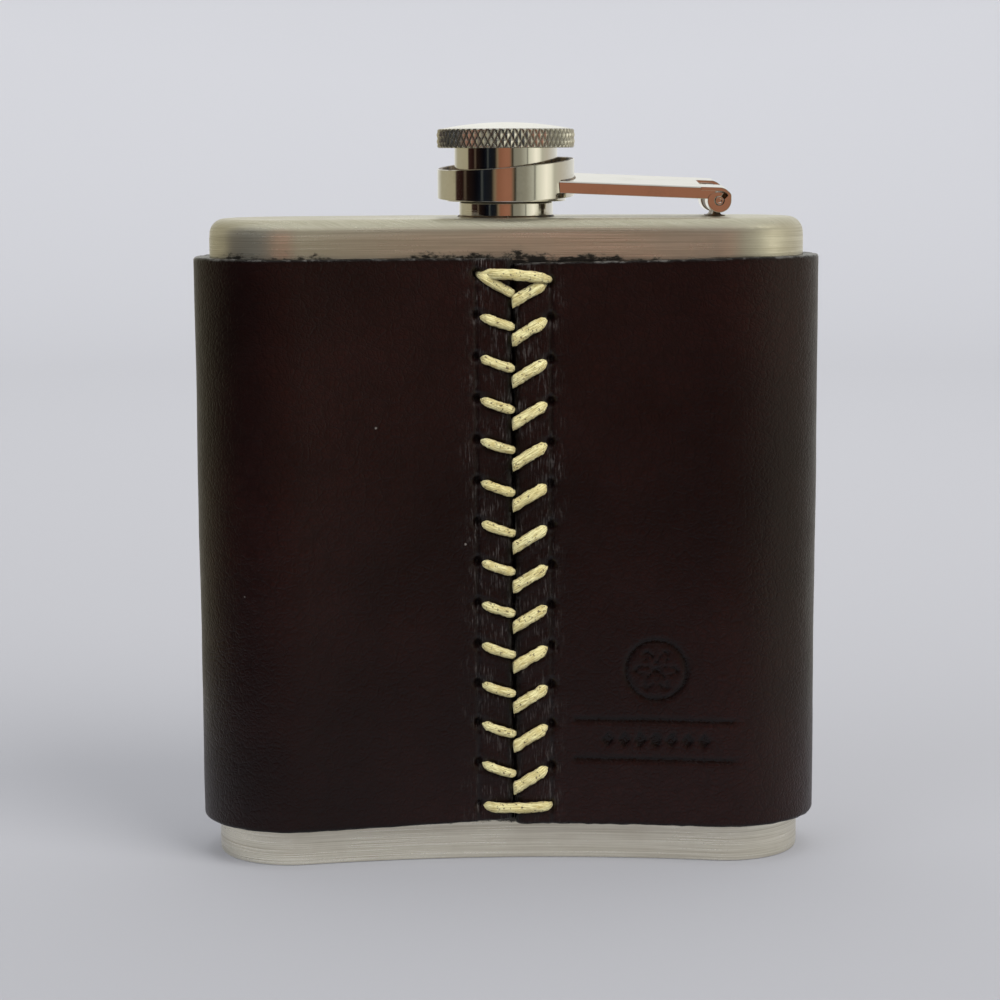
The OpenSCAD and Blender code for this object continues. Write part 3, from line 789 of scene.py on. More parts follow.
# %% Press the leather's face and close its back
def leather_wrap():
    bm = bmesh.new()
    leather_grid(bm)
    bmesh.ops.recalc_face_normals(bm, faces=bm.faces)
    low = [e for e in bm.edges if e.is_boundary and max(v.co.z for v in e.verts) < WRAP_LOW + 1e-6]
    high = [e for e in bm.edges if e.is_boundary and min(v.co.z for v in e.verts) > WRAP_HIGH - 1e-6]
    inner = []
    for edges in (low, high):
        new = bmesh.ops.extrude_edge_only(bm, edges=edges)["geom"]
        for vert in [item for item in new if isinstance(item, bmesh.types.BMVert)]:
            vert.co = vert.co + inwards(vert.co) * LEATHER_T
        inner += [item for item in new if isinstance(item, bmesh.types.BMEdge)]
    bmesh.ops.bridge_loops(bm, edges=inner)
    bmesh.ops.holes_fill(bm, edges=[e for e in bm.edges if e.is_boundary], sides=0)
    bmesh.ops.recalc_face_normals(bm, faces=bm.faces)
    wrap = piece(bm, "leather_sheet", "root", ["leather_wrap"], 60, even=False)
    press_leather(wrap.data)
    return wrap


def inwards(co):
    """Unit vector from the leather's face towards the body's middle line."""
    if abs(co.x) < END_X and co.y < END_Y:
        return Vector((co.x, co.y - ARC_Y, 0)).normalized()
    if abs(co.x) <= END_X * (MID_R + LEATHER_OUT) / MID_R and co.y > NECK_Y - SAG / 2:
        return -Vector((co.x, co.y - ARC_Y, 0)).normalized()
    return ((RIGHT_END if co.x > 0 else LEFT_END) - Vector((co.x, co.y, 0))).normalized()


def round_the_wrap(co, scale, layer):
    """Noise that changes round the wrap but not up it, from -1 to 1."""
    return np.array([noise.noise(Vector((p[0] * scale, p[1] * scale, layer))) for p in co])


def press_leather(mesh):
    """Move the face's vertices in, fit the cut edges, and store the masks for the finish."""
    co = np.empty(len(mesh.vertices) * 3)
    mesh.vertices.foreach_get("co", co)
    co = co.reshape(-1, 3)
    into = np.array([inwards(Vector(p)) for p in co])
    x, y, z = co[:, 0].copy(), co[:, 1].copy(), co[:, 2].copy()
    on_arc = np.abs(np.hypot(x, y - ARC_Y) - FACE_R) < 0.05 * MM
    front = on_arc & (y < END_Y)
    on_back = np.abs(np.hypot(x, y - ARC_Y) - MID_R - LEATHER_OUT) < 0.05 * MM
    on_end = np.abs(np.hypot(np.abs(x) - END_X, y - END_Y) - LEATHER_OUT) < 0.05 * MM
    face = front | on_back | on_end
    deep, crease = leather_relief(x, z)
    pressed = np.where(front | (on_end & (x > 0) & (y < END_Y)), mark_depth(x, z), 0)
    near = front & (np.abs(x - SEAM_X) < 12 * MM)
    deep = np.where(near, deep, 0) + MARK_DEPTH * pressed
    crease = np.where(near, crease, 0)
    # The hide is never quite even, and its cut edges are rubbed round.
    sway = [noise.noise(Vector(p) * 45) * 0.13 + noise.noise(Vector(p) * 160) * 0.035 for p in co]
    sway = np.array(sway) * MM
    from_cut = np.minimum(z - WRAP_LOW, WRAP_HIGH - z)
    rub = 0.5 * MM
    rubbed = rub - np.sqrt(np.maximum(rub ** 2 - np.maximum(rub - from_cut, 0) ** 2, 0))
    depth = np.where(face, deep + rubbed - np.minimum(sway, 0.1 * MM), 0)
    co += into * depth[:, None]
    # The thread pulls the two edges almost together.
    edge_gap = np.maximum(np.abs(x - SEAM_X) - SEAM_GAP / 2, 0)
    co[:, 0] -= np.where(near, np.sign(x - SEAM_X) * 0.24 * MM * bump(edge_gap, 0.6 * MM), 0)
    # The cut edges were trimmed by hand: each panel's edge drifts up or down to the seam.
    share = np.clip(1 - np.abs(x - SEAM_X) / END_X, 0, 1) * (y < END_Y)
    on_right = x > SEAM_X
    drift = round_the_wrap(co, 60, 3.0) * 0.18 * MM
    frayed = round_the_wrap(co, 700, 9.0) * 0.13 * MM
    top_z = WRAP_HIGH - np.where(on_right, 0.88 * MM * share ** 0.8, 0) + drift + frayed
    rise = np.where(on_right, 0.15 * MM, 1.1 * MM * share ** 2.2)
    corner = np.where(on_right, np.maximum(1.2 * MM - (x - SEAM_X), 0) ** 2 / (2.4 * MM), 0) * (share > 0)
    low_z = WRAP_LOW + rise + corner + drift + frayed
    height = (z - WRAP_LOW) / (WRAP_HIGH - WRAP_LOW)
    reach = 6 * MM
    near_top = np.clip((z - WRAP_HIGH + reach) / reach, 0, 1) ** 1.5
    near_low = np.clip((WRAP_LOW + reach - z) / reach, 0, 1) ** 1.5
    co[:, 2] = z + (top_z - WRAP_HIGH) * near_top + (low_z - WRAP_LOW) * near_low
    mesh.vertices.foreach_set("co", co.ravel())
    painted = np.maximum(bump(np.maximum(from_cut, 0), 0.45 * MM), bump(edge_gap, 0.9 * MM) * near)
    painted = np.where(face, painted, 1.0)
    worked = np.where(front, bump(np.maximum(np.abs(x - SEAM_X) - 5.6 * MM, 0), 1.8 * MM), 0)
    masks = {"crease": crease, "painted": painted, "tooled": pressed, "worked": worked,
             "cut": np.where(face, bump(np.maximum(from_cut - 0.1 * MM, 0), 0.3 * MM), 0)}
    for name, values in masks.items():
        layer = mesh.attributes.new(name, "FLOAT", "POINT")
        layer.data.foreach_set("value", values.astype(np.float32))
    mesh.update()


leather = leather_wrap()

# %% [markdown]
# ## Waxed thread
# The thread is flat from the wax and the pull, and a little wider than it is thick. Each
# stitch rises out of its hole, lies in its bed and dives into the seam. A ring of vertices
# is extruded from station to station along that path. Two numbers are kept on every
# vertex, how far round and how far along it is, so that fibres can follow the thread.

# %% Lay one run of thread
SECTION = 16
WIDE, THICK = 0.82 * MM, 0.56 * MM


def smooth_path(points, steps):
    """Catmull-Rom curve through given points."""
    padded = [points[0] * 2 - points[1]] + points + [points[-1] * 2 - points[-2]]
    path = []
    for a, b, c, d in zip(padded, padded[1:], padded[2:], padded[3:]):
        for i in range(steps):
            t = i / steps
            path.append(0.5 * ((2 * b) + (c - a) * t + (2 * a - 5 * b + 4 * c - d) * t ** 2
                               + (3 * b - a - 3 * c + d) * t ** 3))
    return path + [points[-1]]


def lay_thread(bm, path, marks, seed, plump=1.0, cut=None):
    """Extrude an oval ring along a path, and note the fibre coordinates.

    A cut is a side and an x: past that plane the thread turns down over the leather's edge.
    """
    ring = bmesh.ops.create_circle(bm, cap_ends=False, segments=SECTION, radius=1.0)["verts"]
    edges = list({e for v in ring for e in v.link_edges})
    shapes = [v.co.copy() for v in ring]
    first = list(ring)
    across = (path[-1] - path[0]).cross(Vector((0, -1, 0))).normalized()
    travelled = 0.0
    for i, spot in enumerate(path):
        ahead = path[min(i + 1, len(path) - 1)] - path[max(i - 1, 0)]
        ahead.normalize()
        outward = across.cross(ahead).normalized()
        if i:
            travelled += (spot - path[i - 1]).length
            new = bmesh.ops.extrude_edge_only(bm, edges=edges)["geom"]
            edges = [g for g in new if isinstance(g, bmesh.types.BMEdge)]
            fresh = [g for g in new if isinstance(g, bmesh.types.BMVert)]
            ring = match_ring(ring, fresh)
        share = i / (len(path) - 1)
        near_end = min(1.0, min(share, 1 - share) / 0.34)
        if cut and share > 0.5:
            near_end = 1.0
        taper = plump * (0.55 + 0.45 * near_end * near_end * (3 - 2 * near_end))
        wobble = noise.noise(Vector((travelled * 800, seed, 0))) * 0.16
        for vert, shape in zip(ring, shapes):
            around = atan2(shape.y, shape.x)
            lump = noise.noise(Vector((travelled * 2600, around * 1.3, seed))) * 0.15
            lobes = taper * (1 + 0.045 * cos(3 * around + travelled * 1500) + wobble + lump)
            vert.co = spot + across * shape.x * WIDE * lobes + outward * shape.y * THICK * lobes
            past = (cut[1] - vert.co.x) * cut[0] if cut else 0.0
            if past > 0:
                vert.co += Vector((cut[0] * past * 0.8, past * 1.1, 0))
            marks.append((vert, around, travelled, seed))
    for loop in (first, ring):
        bm.faces.new(loop)


def match_ring(old, fresh):
    """Put the extruded vertices in the order of the ring that they came from."""
    linked = {}
    for vert in fresh:
        for edge in vert.link_edges:
            linked[edge.other_vert(vert)] = vert
    return [linked[v] for v in old]


def over_leather(start, end, lift, dive, inset=0.0, over_edge=False):
    """A path out of one place, along the leather and down into another."""
    (x0, z0), (x1, z1) = start, end
    run = Vector((x1 - x0, 0, z1 - z0))
    length = run.length
    out = inset / length
    # Each station is a share of the way and a height over the leather in millimetres.
    stations = [(0.9 * out, -1.8), (0.06 + out, -1.0), (0.15 + out, -0.22), (0.27 + out, lift * 0.75)]
    stations += [(0.55, lift * 1.1), (0.76, lift), (0.92, dive), (0.99, dive - 0.6), (1.02, -1.6)]
    if over_edge:  # the thread keeps its height up to the seam
        stations[-3:] = [(0.93, lift), (1.04, lift * 0.6), (1.14, lift * 0.2)]
    points = []
    for share, height in stations:
        spot = Vector((x0, 0, z0)) + run * share
        points.append(Vector((spot.x, face_y(spot.x) - height * MM, spot.z)))
    return smooth_path(points, 5)


def thread_piece(runs, name, nodes):
    """Lay several runs as one piece. A run is its seed, its path and how it is shaped."""
    bm = bmesh.new()
    marks = []
    for seed, path, *shape in runs:
        lay_thread(bm, path, marks, seed, *shape)
    bm.verts.index_update()
    values = {vert.index: (around, along, seed) for vert, around, along, seed in marks}
    bmesh.ops.recalc_face_normals(bm, faces=bm.faces)
    total = len(bm.verts)
    obj = piece(bm, name, "root", nodes, 70, even=False)
    for layer_name, place in (("around", 0), ("along", 1), ("strand", 2)):
        layer = obj.data.attributes.new(layer_name, "FLOAT", "POINT")
        layer.data.foreach_set("value", [values[i][place] for i in range(total)])
    return obj


# %% Lay all the stitches
LEFT_PLUMP, RIGHT_PLUMP = 0.88, 1.10
RIGHT_CUT = (1, SEAM_X - 0.05 * MM)
LEFT_INSET, RIGHT_INSET = 0.32 * MM, 0.45 * MM
left_runs = [(k, over_leather(*slants[-1][k], 0.30, 0.10, LEFT_INSET), LEFT_PLUMP)
             for k in range(1, STITCH_COUNT)]
right_runs = [(40 + k, over_leather(*slants[1][k], 0.34, 0.05, RIGHT_INSET, True), RIGHT_PLUMP, RIGHT_CUT)
              for k in range(1, STITCH_COUNT)]
left_thread = thread_piece(left_runs, "left_stitches", ["stitches_left"])
right_thread = thread_piece(right_runs, "right_stitches", ["stitches_right"])


def bowed(start, end, lift, bow):
    """A level bar whose middle bows up, or down where the bow is negative."""
    path = over_leather(start, end, lift, 0.2)
    length = end[0] - start[0]
    for spot in path:
        share = (spot.x - start[0]) / length
        spot.z += bow * 4 * share * (1 - share)
    return path


lock_runs = [(80, over_leather(*slants[-1][0], 0.25, 0.1), LEFT_PLUMP),
             (81, over_leather(*slants[1][0], 0.25, 0.1, 0.0, True), RIGHT_PLUMP, RIGHT_CUT),
             (82, bowed(*bars["top"], 1.15, 0.4 * MM))]
top_lock = thread_piece(lock_runs, "top_lock", ["top_lock_stitch"])
bottom_runs = [(90, bowed(*bars["bottom"], 0.42, -0.25 * MM))]
bottom_lock = thread_piece(bottom_runs, "bottom_lock", ["bottom_lock_stitch"])

# %% [markdown]
# ## Shared effects
# Grain, brushing and smudges turn up in more than one finish, so each is a node group with
# named inputs and one or two values coming out. Every pattern reads Object coordinates,
# which are metres here, so a scale of 1000 means one cell for each millimetre.

# %% Small node helpers
def fill(tree, socket, value):
    """Wire a socket to another one, or give it a plain value."""
    if isinstance(value, bpy.types.NodeSocket):
        tree.links.new(value, socket)
    elif isinstance(value, tuple) and socket.type == "RGBA" and len(value) == 3:
        socket.default_value = (*value, 1.0)
    else:
        socket.default_value = value


def node(tree, kind, inputs=None, **settings):
    """Add a node, set its properties and fill its inputs by name or number."""
    new = tree.nodes.new(kind)
    for key, value in settings.items():
        setattr(new, key, value)
    for key, value in (inputs or {}).items():
        fill(tree, new.inputs[key], value)
    return new


def math(tree, operation, a, b=0.0, clamp=False):
    return node(tree, "ShaderNodeMath", {0: a, 1: b}, operation=operation, use_clamp=clamp).outputs[0]


def times(tree, a, b):
    return math(tree, "MULTIPLY", a, b)


def plus(tree, a, b):
    return math(tree, "ADD", a, b)


def minus(tree, a, b, clamp=False):
    return math(tree, "SUBTRACT", a, b, clamp)


def split(tree, vector):
    """The X, Y and Z of a vector."""
    return node(tree, "ShaderNodeSeparateXYZ", {0: vector}).outputs


def join(tree, **parts):
    """A vector from the parts that are given, with 0 for the others."""
    return node(tree, "ShaderNodeCombineXYZ", parts).outputs[0]


def vector_math(tree, operation, a, b):
    return node(tree, "ShaderNodeVectorMath", {0: a, 1: b}, operation=operation).outputs[0]


def spread(tree, value, low, high, to_low=0.0, to_high=1.0):
    """Map a range of a value onto another, clamped."""
    inputs = {"Value": value, "From Min": low, "From Max": high, "To Min": to_low, "To Max": to_high}
    return node(tree, "ShaderNodeMapRange", inputs).outputs["Result"]


def blend_colour(tree, share, a, b):
    return node(tree, "ShaderNodeMix", {0: share, 6: a, 7: b}, data_type="RGBA").outputs[2]


def stretched(tree, vector, scale):
    return node(tree, "ShaderNodeMapping", {"Vector": vector, "Scale": scale}).outputs["Vector"]


def fine_noise(tree, vector, scale, detail=4.0, roughness=0.55):
    inputs = {"Vector": vector, "Scale": scale, "Detail": detail, "Roughness": roughness}
    return node(tree, "ShaderNodeTexNoise", inputs).outputs["Fac"]


def group(name, inputs, outputs):
    """An empty node group with float inputs, one vector input and float outputs."""
    tree = bpy.data.node_groups.new(name, "ShaderNodeTree")
    tree.interface.new_socket("Vector", in_out="INPUT", socket_type="NodeSocketVector")
    for title, value in inputs.items():
        socket = tree.interface.new_socket(title, in_out="INPUT", socket_type="NodeSocketFloat")
        socket.default_value = value
    for title in outputs:
        tree.interface.new_socket(title, in_out="OUTPUT", socket_type="NodeSocketFloat")
    return tree, tree.nodes.new("NodeGroupInput").outputs, tree.nodes.new("NodeGroupOutput").inputs


def use(tree, made, inputs):
    """Put a shared group into a material's tree."""
    return node(tree, "ShaderNodeGroup", inputs, node_tree=made).outputs


# %% Make the shared groups
def make_smudges():
    """Patchy marks, as fingers and polish leave: a mask from 0 to 1."""
    tree, given, out = group("smudges", {"Scale": 60.0, "Amount": 0.5}, ["Mask"])
    broad = fine_noise(tree, given["Vector"], given["Scale"], 3.0, 0.6)
    fine = fine_noise(tree, given["Vector"], times(tree, given["Scale"], 9.0), 5.0, 0.7)
    both = plus(tree, times(tree, broad, 0.7), times(tree, fine, 0.3))
    start = minus(tree, 0.62, times(tree, given["Amount"], 0.25))
    tree.links.new(spread(tree, both, start, 0.68), out["Mask"])
    return tree


def make_brushing():
    """Fine scratches that all run one way, by squeezing the space across them."""
    tree, given, out = group("brushing", {"Fineness": 5000.0, "Length": 60.0}, ["Streak", "Band"])
    parts = split(tree, given["Vector"])
    across = times(tree, parts["Z"], given["Fineness"])
    along = times(tree, parts["X"], given["Length"])
    depth = times(tree, parts["Y"], given["Length"])
    lines = join(tree, X=along, Y=depth, Z=across)
    tree.links.new(fine_noise(tree, lines, 1.0, 3.0, 0.6), out["Streak"])
    wide = vector_math(tree, "MULTIPLY", lines, (0.3, 0.3, 0.12))
    tree.links.new(fine_noise(tree, wide, 1.0, 2.0, 0.5), out["Band"])
    return tree


def to_cell_edge(tree, vector, scale):
    """Distance to the nearest edge of a cracked pattern."""
    inputs = {"Vector": vector, "Scale": scale}
    return node(tree, "ShaderNodeTexVoronoi", inputs, feature="DISTANCE_TO_EDGE").outputs["Distance"]


def make_grain():
    """Leather's pores and wrinkles: a height, and how deep in a wrinkle a point is."""
    tree, given, out = group("hide_grain", {"Scale": 1600.0}, ["Height", "Wrinkle"])
    bent = node(tree, "ShaderNodeTexNoise", {"Vector": given["Vector"], "Scale": 300.0, "Detail": 2.0})
    shift = vector_math(tree, "MULTIPLY", bent.outputs["Color"], (0.0012, 0.0012, 0.0012))
    place = vector_math(tree, "ADD", given["Vector"], shift)
    rim = spread(tree, to_cell_edge(tree, place, given["Scale"]), 0.0, 0.22)
    fold = spread(tree, to_cell_edge(tree, place, times(tree, given["Scale"], 0.31)), 0.0, 0.10)
    fibre = fine_noise(tree, given["Vector"], times(tree, given["Scale"], 2.2), 4.0, 0.7)
    height = plus(tree, times(tree, rim, 0.45), times(tree, fold, 0.35))
    tree.links.new(plus(tree, height, times(tree, fibre, 0.4)), out["Height"])
    tree.links.new(minus(tree, 1.0, times(tree, rim, fold)), out["Wrinkle"])
    return tree


smudges = make_smudges()
brushing = make_brushing()
grain = make_grain()
print("shared effects:", [g.name for g in bpy.data.node_groups])


# %% Start a material
def material(name, **constants):
    """A Principled material with its plain numbers set on the shader's own sockets."""
    made = bpy.data.materials.new(name)
    made.use_nodes = True
    shader = made.node_tree.nodes["Principled BSDF"]
    for key, value in constants.items():
        shader.inputs[key.replace("_", " ")].default_value = value
    coords = made.node_tree.nodes.new("ShaderNodeTexCoord").outputs["Object"]
    return made, made.node_tree, shader, coords


def attribute(tree, name):
    return node(tree, "ShaderNodeAttribute", attribute_name=name).outputs["Fac"]


def raise_bump(tree, shader, height, distance, strength=1.0):
    made = node(tree, "ShaderNodeBump", {"Height": height, "Distance": distance, "Strength": strength})
    tree.links.new(made.outputs["Normal"], shader.inputs["Normal"])


def dress(made, *objects):
    for obj in objects:
        obj.data.materials.append(made)


# %% [markdown]
# ## Leather finish
# Dark bridle leather is dyed through, waxed and boned smooth, so it is nearly black with a
# red-brown warmth, and its sheen is broad and soft. The grain only shows near the light.
# The cut edges and the seam are painted darker with edge paint. The creases, thread beds
# and holes are darkened as painted shade, and the tooled lines are burnished darker and
# carry painted shade too. Those masks were stored on the mesh, because only the mesh knows
# where its edges are.

# %% Make the leather
def leather_finish():
    made, tree, shader, coords = material("bridle_leather", Specular_IOR_Level=0.25, Coat_Roughness=0.16)
    hide = use(tree, grain, {"Vector": coords, "Scale": 1500.0})
    patches = fine_noise(tree, coords, 26.0, 4.0, 0.6)
    mottle = fine_noise(tree, coords, 420.0, 4.0, 0.65)
    crease, painted, tooled = (attribute(tree, name) for name in ("crease", "painted", "tooled"))
    patchiness = spread(tree, patches, 0.38, 0.72)
    warm = blend_colour(tree, patchiness, (0.0058, 0.0012, 0.0010), (0.0160, 0.0042, 0.0034))
    tone = blend_colour(tree, spread(tree, mottle, 0.35, 0.75, 0.0, 0.35), warm, (0.0052, 0.0018, 0.0017))
    # Painted shade: the tone darkens deep in the grain's wrinkles.
    tone = blend_colour(tree, times(tree, hide["Wrinkle"], 0.45), tone, (0.0030, 0.0012, 0.0012))
    # Edge paint darkens the cut edges and the seam; painted shade darkens the creases, the thread beds and the
    # holes, and partly the tooled mark, which is also burnished darker.
    dark = math(tree, "MAXIMUM", times(tree, crease, 0.8), painted)
    dark = math(tree, "MAXIMUM", dark, times(tree, tooled, 0.95), clamp=True)
    tone = blend_colour(tree, dark, tone, (0.0011, 0.0007, 0.0007))
    # Where the sewer handled it, fine pale creases run down the hide.
    parts = split(tree, coords)
    upright = join(tree, X=parts["Z"], Y=parts["Y"], Z=parts["X"])
    creases = use(tree, brushing, {"Vector": upright, "Fineness": 5400.0, "Length": 520.0})["Streak"]
    fine = times(tree, spread(tree, creases, 0.54, 0.68), attribute(tree, "worked"))
    patchy = spread(tree, fine_noise(tree, coords, 330.0, 3.0, 0.6), 0.42, 0.62)
    pale = times(tree, times(tree, fine, patchy), 0.55)
    tone = blend_colour(tree, pale, tone, (0.115, 0.102, 0.096))
    # The cut edge carries a pale painted highlight here and there, which also stands for its frayed fibres.
    loose = spread(tree, fine_noise(tree, coords, 520.0, 4.0, 0.7), 0.50, 0.62)
    edge_highlight_and_fray = times(tree, spread(tree, attribute(tree, "cut"), 0.45, 0.95), loose)
    tone = blend_colour(tree, times(tree, edge_highlight_and_fray, 0.5), tone, (0.11, 0.105, 0.097))
    # A few pale specks of dust and wax.
    dust = node(tree, "ShaderNodeTexVoronoi", {"Vector": coords, "Scale": 150.0}, feature="F1")
    speck = spread(tree, dust.outputs["Distance"], 0.035, 0.015)
    draw = node(tree, "ShaderNodeSeparateColor", {0: dust.outputs["Color"]}).outputs[0]
    few = math(tree, "GREATER_THAN", draw, 0.90)
    speck = times(tree, times(tree, speck, few), 0.6)
    tree.links.new(blend_colour(tree, speck, tone, (0.22, 0.20, 0.18)), shader.inputs["Base Color"])
    rubbed = use(tree, smudges, {"Vector": coords, "Scale": 45.0, "Amount": 0.6})["Mask"]
    rough = plus(tree, spread(tree, rubbed, 0.0, 1.0, 0.36, 0.27), times(tree, mottle, 0.08))
    rough = minus(tree, rough, times(tree, painted, 0.12))
    tree.links.new(minus(tree, rough, times(tree, tooled, 0.17)), shader.inputs["Roughness"])
    tree.links.new(times(tree, crease, 0.3), shader.inputs["Coat Weight"])
    tall = stretched(tree, coords, (1.0, 1.0, 0.06))
    scratches = use(tree, brushing, {"Vector": tall, "Fineness": 2500.0, "Length": 1800.0})["Streak"]
    height = plus(tree, hide["Height"], times(tree, scratches, 0.25))
    height = minus(tree, height, times(tree, fine, 0.9))
    raise_bump(tree, shader, height, 0.00009, 0.8)
    return made


bridle_leather = leather_finish()
dress(bridle_leather, leather)

# %% [markdown]
# ## Thread finish
# Waxed linen thread is a bundle of fibres held by wax. Its fibres are striped cream and
# ochre: the cream is a painted highlight and the ochre a painted shade between the fibres.
# Dark crumbs of leather dye are caught in it, and painted shade darkens its flanks. Stripes
# made from the numbers stored on the thread follow every bend, which no plain texture could.

# %% Make the waxed thread
def thread_finish():
    made, tree, shader, coords = material("waxed_linen", Specular_IOR_Level=0.45, Sheen_Weight=0.15)
    around, along, strand = (attribute(tree, name) for name in ("around", "along", "strand"))
    # "around" jumps where it closes, so its cosine and sine carry the fibres across.
    round_x, round_y = math(tree, "COSINE", around), math(tree, "SINE", around)
    length = times(tree, along, 380.0)
    lay = join(tree, X=times(tree, round_x, 3.4), Y=times(tree, round_y, 3.4),
               Z=plus(tree, length, times(tree, strand, 7.3)))
    fibres = fine_noise(tree, lay, 1.8, 5.0, 0.65)
    broad = fine_noise(tree, coords, 700.0, 3.0, 0.6)
    # The fibre stripes run from ochre, a painted shade between the fibres, to cream, a painted highlight on them.
    tone = blend_colour(tree, spread(tree, fibres, 0.36, 0.60), (0.36, 0.27, 0.075), (0.92, 0.87, 0.48))
    tone = blend_colour(tree, spread(tree, broad, 0.48, 0.72, 0.0, 0.6), tone, (0.50, 0.39, 0.13))
    # Each length took up the wax and the dye a little differently.
    apart = join(tree, X=times(tree, strand, 3.7))
    own = spread(tree, fine_noise(tree, apart, 1.0, 1.0, 0.5), 0.35, 0.7, 0.0, 0.3)
    tone = blend_colour(tree, own, tone, (0.62, 0.49, 0.17))
    # Painted shade darkens the thread's flanks and underside, leaving its crown light.
    painted_flank_shade = spread(tree, round_y, 0.62, 0.10, 0.0, 0.75)
    tone = blend_colour(tree, painted_flank_shade, tone, (0.33, 0.24, 0.085))
    crumbs = fine_noise(tree, coords, 2300.0, 2.0, 0.5)
    crumb = spread(tree, crumbs, 0.62, 0.67, 0.0, 0.9)
    tone = blend_colour(tree, crumb, tone, (0.075, 0.045, 0.02))
    tree.links.new(tone, shader.inputs["Base Color"])
    tree.links.new(spread(tree, fibres, 0.3, 0.7, 0.62, 0.42), shader.inputs["Roughness"])
    height = plus(tree, fibres, times(tree, broad, 0.4))
    raise_bump(tree, shader, height, 0.00030, 1.0)
    return made


waxed_linen = thread_finish()
dress(waxed_linen, left_thread, right_thread, top_lock, bottom_lock)

# %% [markdown]
# ## Brushed steel
# The body was rubbed with an abrasive belt, so fine streaks run level round it and blur
# reflections up and down; over the shoulder and the top they slant. The scratches also
# scatter some of the light, so the steel isn't a perfect metal. Hands leave duller patches,
# and paint from the leather's edge has smeared the steel just above and below the wrap.
# Painted shade makes the upper body darker and yellower than the base, and darkens a
# soft band just above the wrap's front edge.

# %% Make the brushed steel
def edge_paint(tree, coords, parts):
    """Dark paint flecks next to the leather's edges, and a soft painted shade above the top one."""
    z, y = parts["Z"], parts["Y"]
    flecks = fine_noise(tree, stretched(tree, coords, (420.0, 420.0, 900.0)), 1.0, 5.0, 0.75)
    wander = fine_noise(tree, coords, 55.0, 2.0, 0.5)
    over = minus(tree, z, WRAP_HIGH - 0.0008)
    under = minus(tree, WRAP_LOW + 0.0004, z)
    reach = spread(tree, wander, 0.40, 0.68, 0.0006, 0.0034)
    near_top = minus(tree, 1.0, math(tree, "DIVIDE", over, reach), clamp=True)
    near_top = times(tree, near_top, math(tree, "GREATER_THAN", z, TOP / 2))
    near_low = minus(tree, 1.0, math(tree, "DIVIDE", under, 0.0009), clamp=True)
    near_low = times(tree, near_low, math(tree, "LESS_THAN", z, TOP / 2))
    in_front = spread(tree, y, 0.004, -0.002)
    near = math(tree, "MAXIMUM", times(tree, near_top, in_front), near_low)
    paint = spread(tree, plus(tree, times(tree, near, 0.42), flecks), 0.72, 0.84, 0.0, 0.93)
    paint = times(tree, paint, math(tree, "GREATER_THAN", near, 0.01))
    # Painted shade: a soft darkening just above the wrap's top edge, in front.
    darkening = times(tree, times(tree, near_top, in_front), near_top)
    return paint, darkening


def brushed_finish():
    made, tree, shader, coords = material("brushed_steel", Metallic=0.86, Anisotropic=0.45)
    lines = use(tree, brushing, {"Vector": coords, "Fineness": 6500.0, "Length": 55.0})
    marks = use(tree, smudges, {"Vector": coords, "Scale": 70.0, "Amount": 0.55})["Mask"]
    # Over the shoulder and the top the belt was turned, so the strokes there slant.
    parts = split(tree, coords)
    lean = plus(tree, parts["Y"], parts["Z"])
    across = plus(tree, times(tree, parts["X"], 0.5), times(tree, lean, 0.85))
    along = minus(tree, times(tree, parts["X"], 0.85), times(tree, lean, 0.5))
    turned = join(tree, X=along, Z=across)
    strokes = use(tree, brushing, {"Vector": turned, "Fineness": 3200.0, "Length": 160.0})["Streak"]
    facing = node(tree, "ShaderNodeTexCoord").outputs["Normal"]
    upper = spread(tree, split(tree, facing)["Z"], 0.25, 0.75)
    level_streak = times(tree, lines["Streak"], minus(tree, 1.0, upper))
    streak = plus(tree, level_streak, times(tree, strokes, upper))
    tone = blend_colour(tree, spread(tree, streak, 0.32, 0.70), (0.60, 0.56, 0.45), (0.92, 0.885, 0.765))
    tone = blend_colour(tree, spread(tree, lines["Band"], 0.42, 0.66, 0.0, 0.35), tone, (0.56, 0.51, 0.41))
    tone = blend_colour(tree, times(tree, marks, 0.18), tone, (0.46, 0.42, 0.34))
    # Painted shade: the upper body is darker and yellower than the base, most where it faces up.
    top_shade_strength = plus(tree, times(tree, upper, 0.20), 0.22)
    painted_top_shade = times(tree, spread(tree, parts["Z"], 0.03, 0.08), top_shade_strength)
    tone = blend_colour(tree, painted_top_shade, tone, (0.31, 0.29, 0.17))
    paint, darkening = edge_paint(tree, coords, parts)
    # Painted shade just above the wrap's top edge.
    tone = blend_colour(tree, times(tree, darkening, 0.75), tone, (0.10, 0.098, 0.096))
    tree.links.new(blend_colour(tree, paint, tone, (0.022, 0.021, 0.021)), shader.inputs["Base Color"])
    rough = spread(tree, streak, 0.3, 0.7, 0.34, 0.24)
    rough = plus(tree, rough, times(tree, marks, 0.10))
    tree.links.new(plus(tree, rough, times(tree, paint, 0.25)), shader.inputs["Roughness"])
    height = times(tree, streak, plus(tree, times(tree, upper, 2.0), 1.0))
    raise_bump(tree, shader, height, 0.00002, 0.8)
    return made


brushed_steel = brushed_finish()
dress(brushed_steel, shell, base)

# %% [markdown]
# ## Polished and dark metal
# The fittings are polished until they mirror the room, with the faintest of turning lines
# and smears. The knurled head is the same metal; a mask from the distance to the axis
# darkens its grooves as painted shade, leaving its ridges bright. The bracket and the weld
# are heat tinted: straw, brown and blue-grey where the torch was.

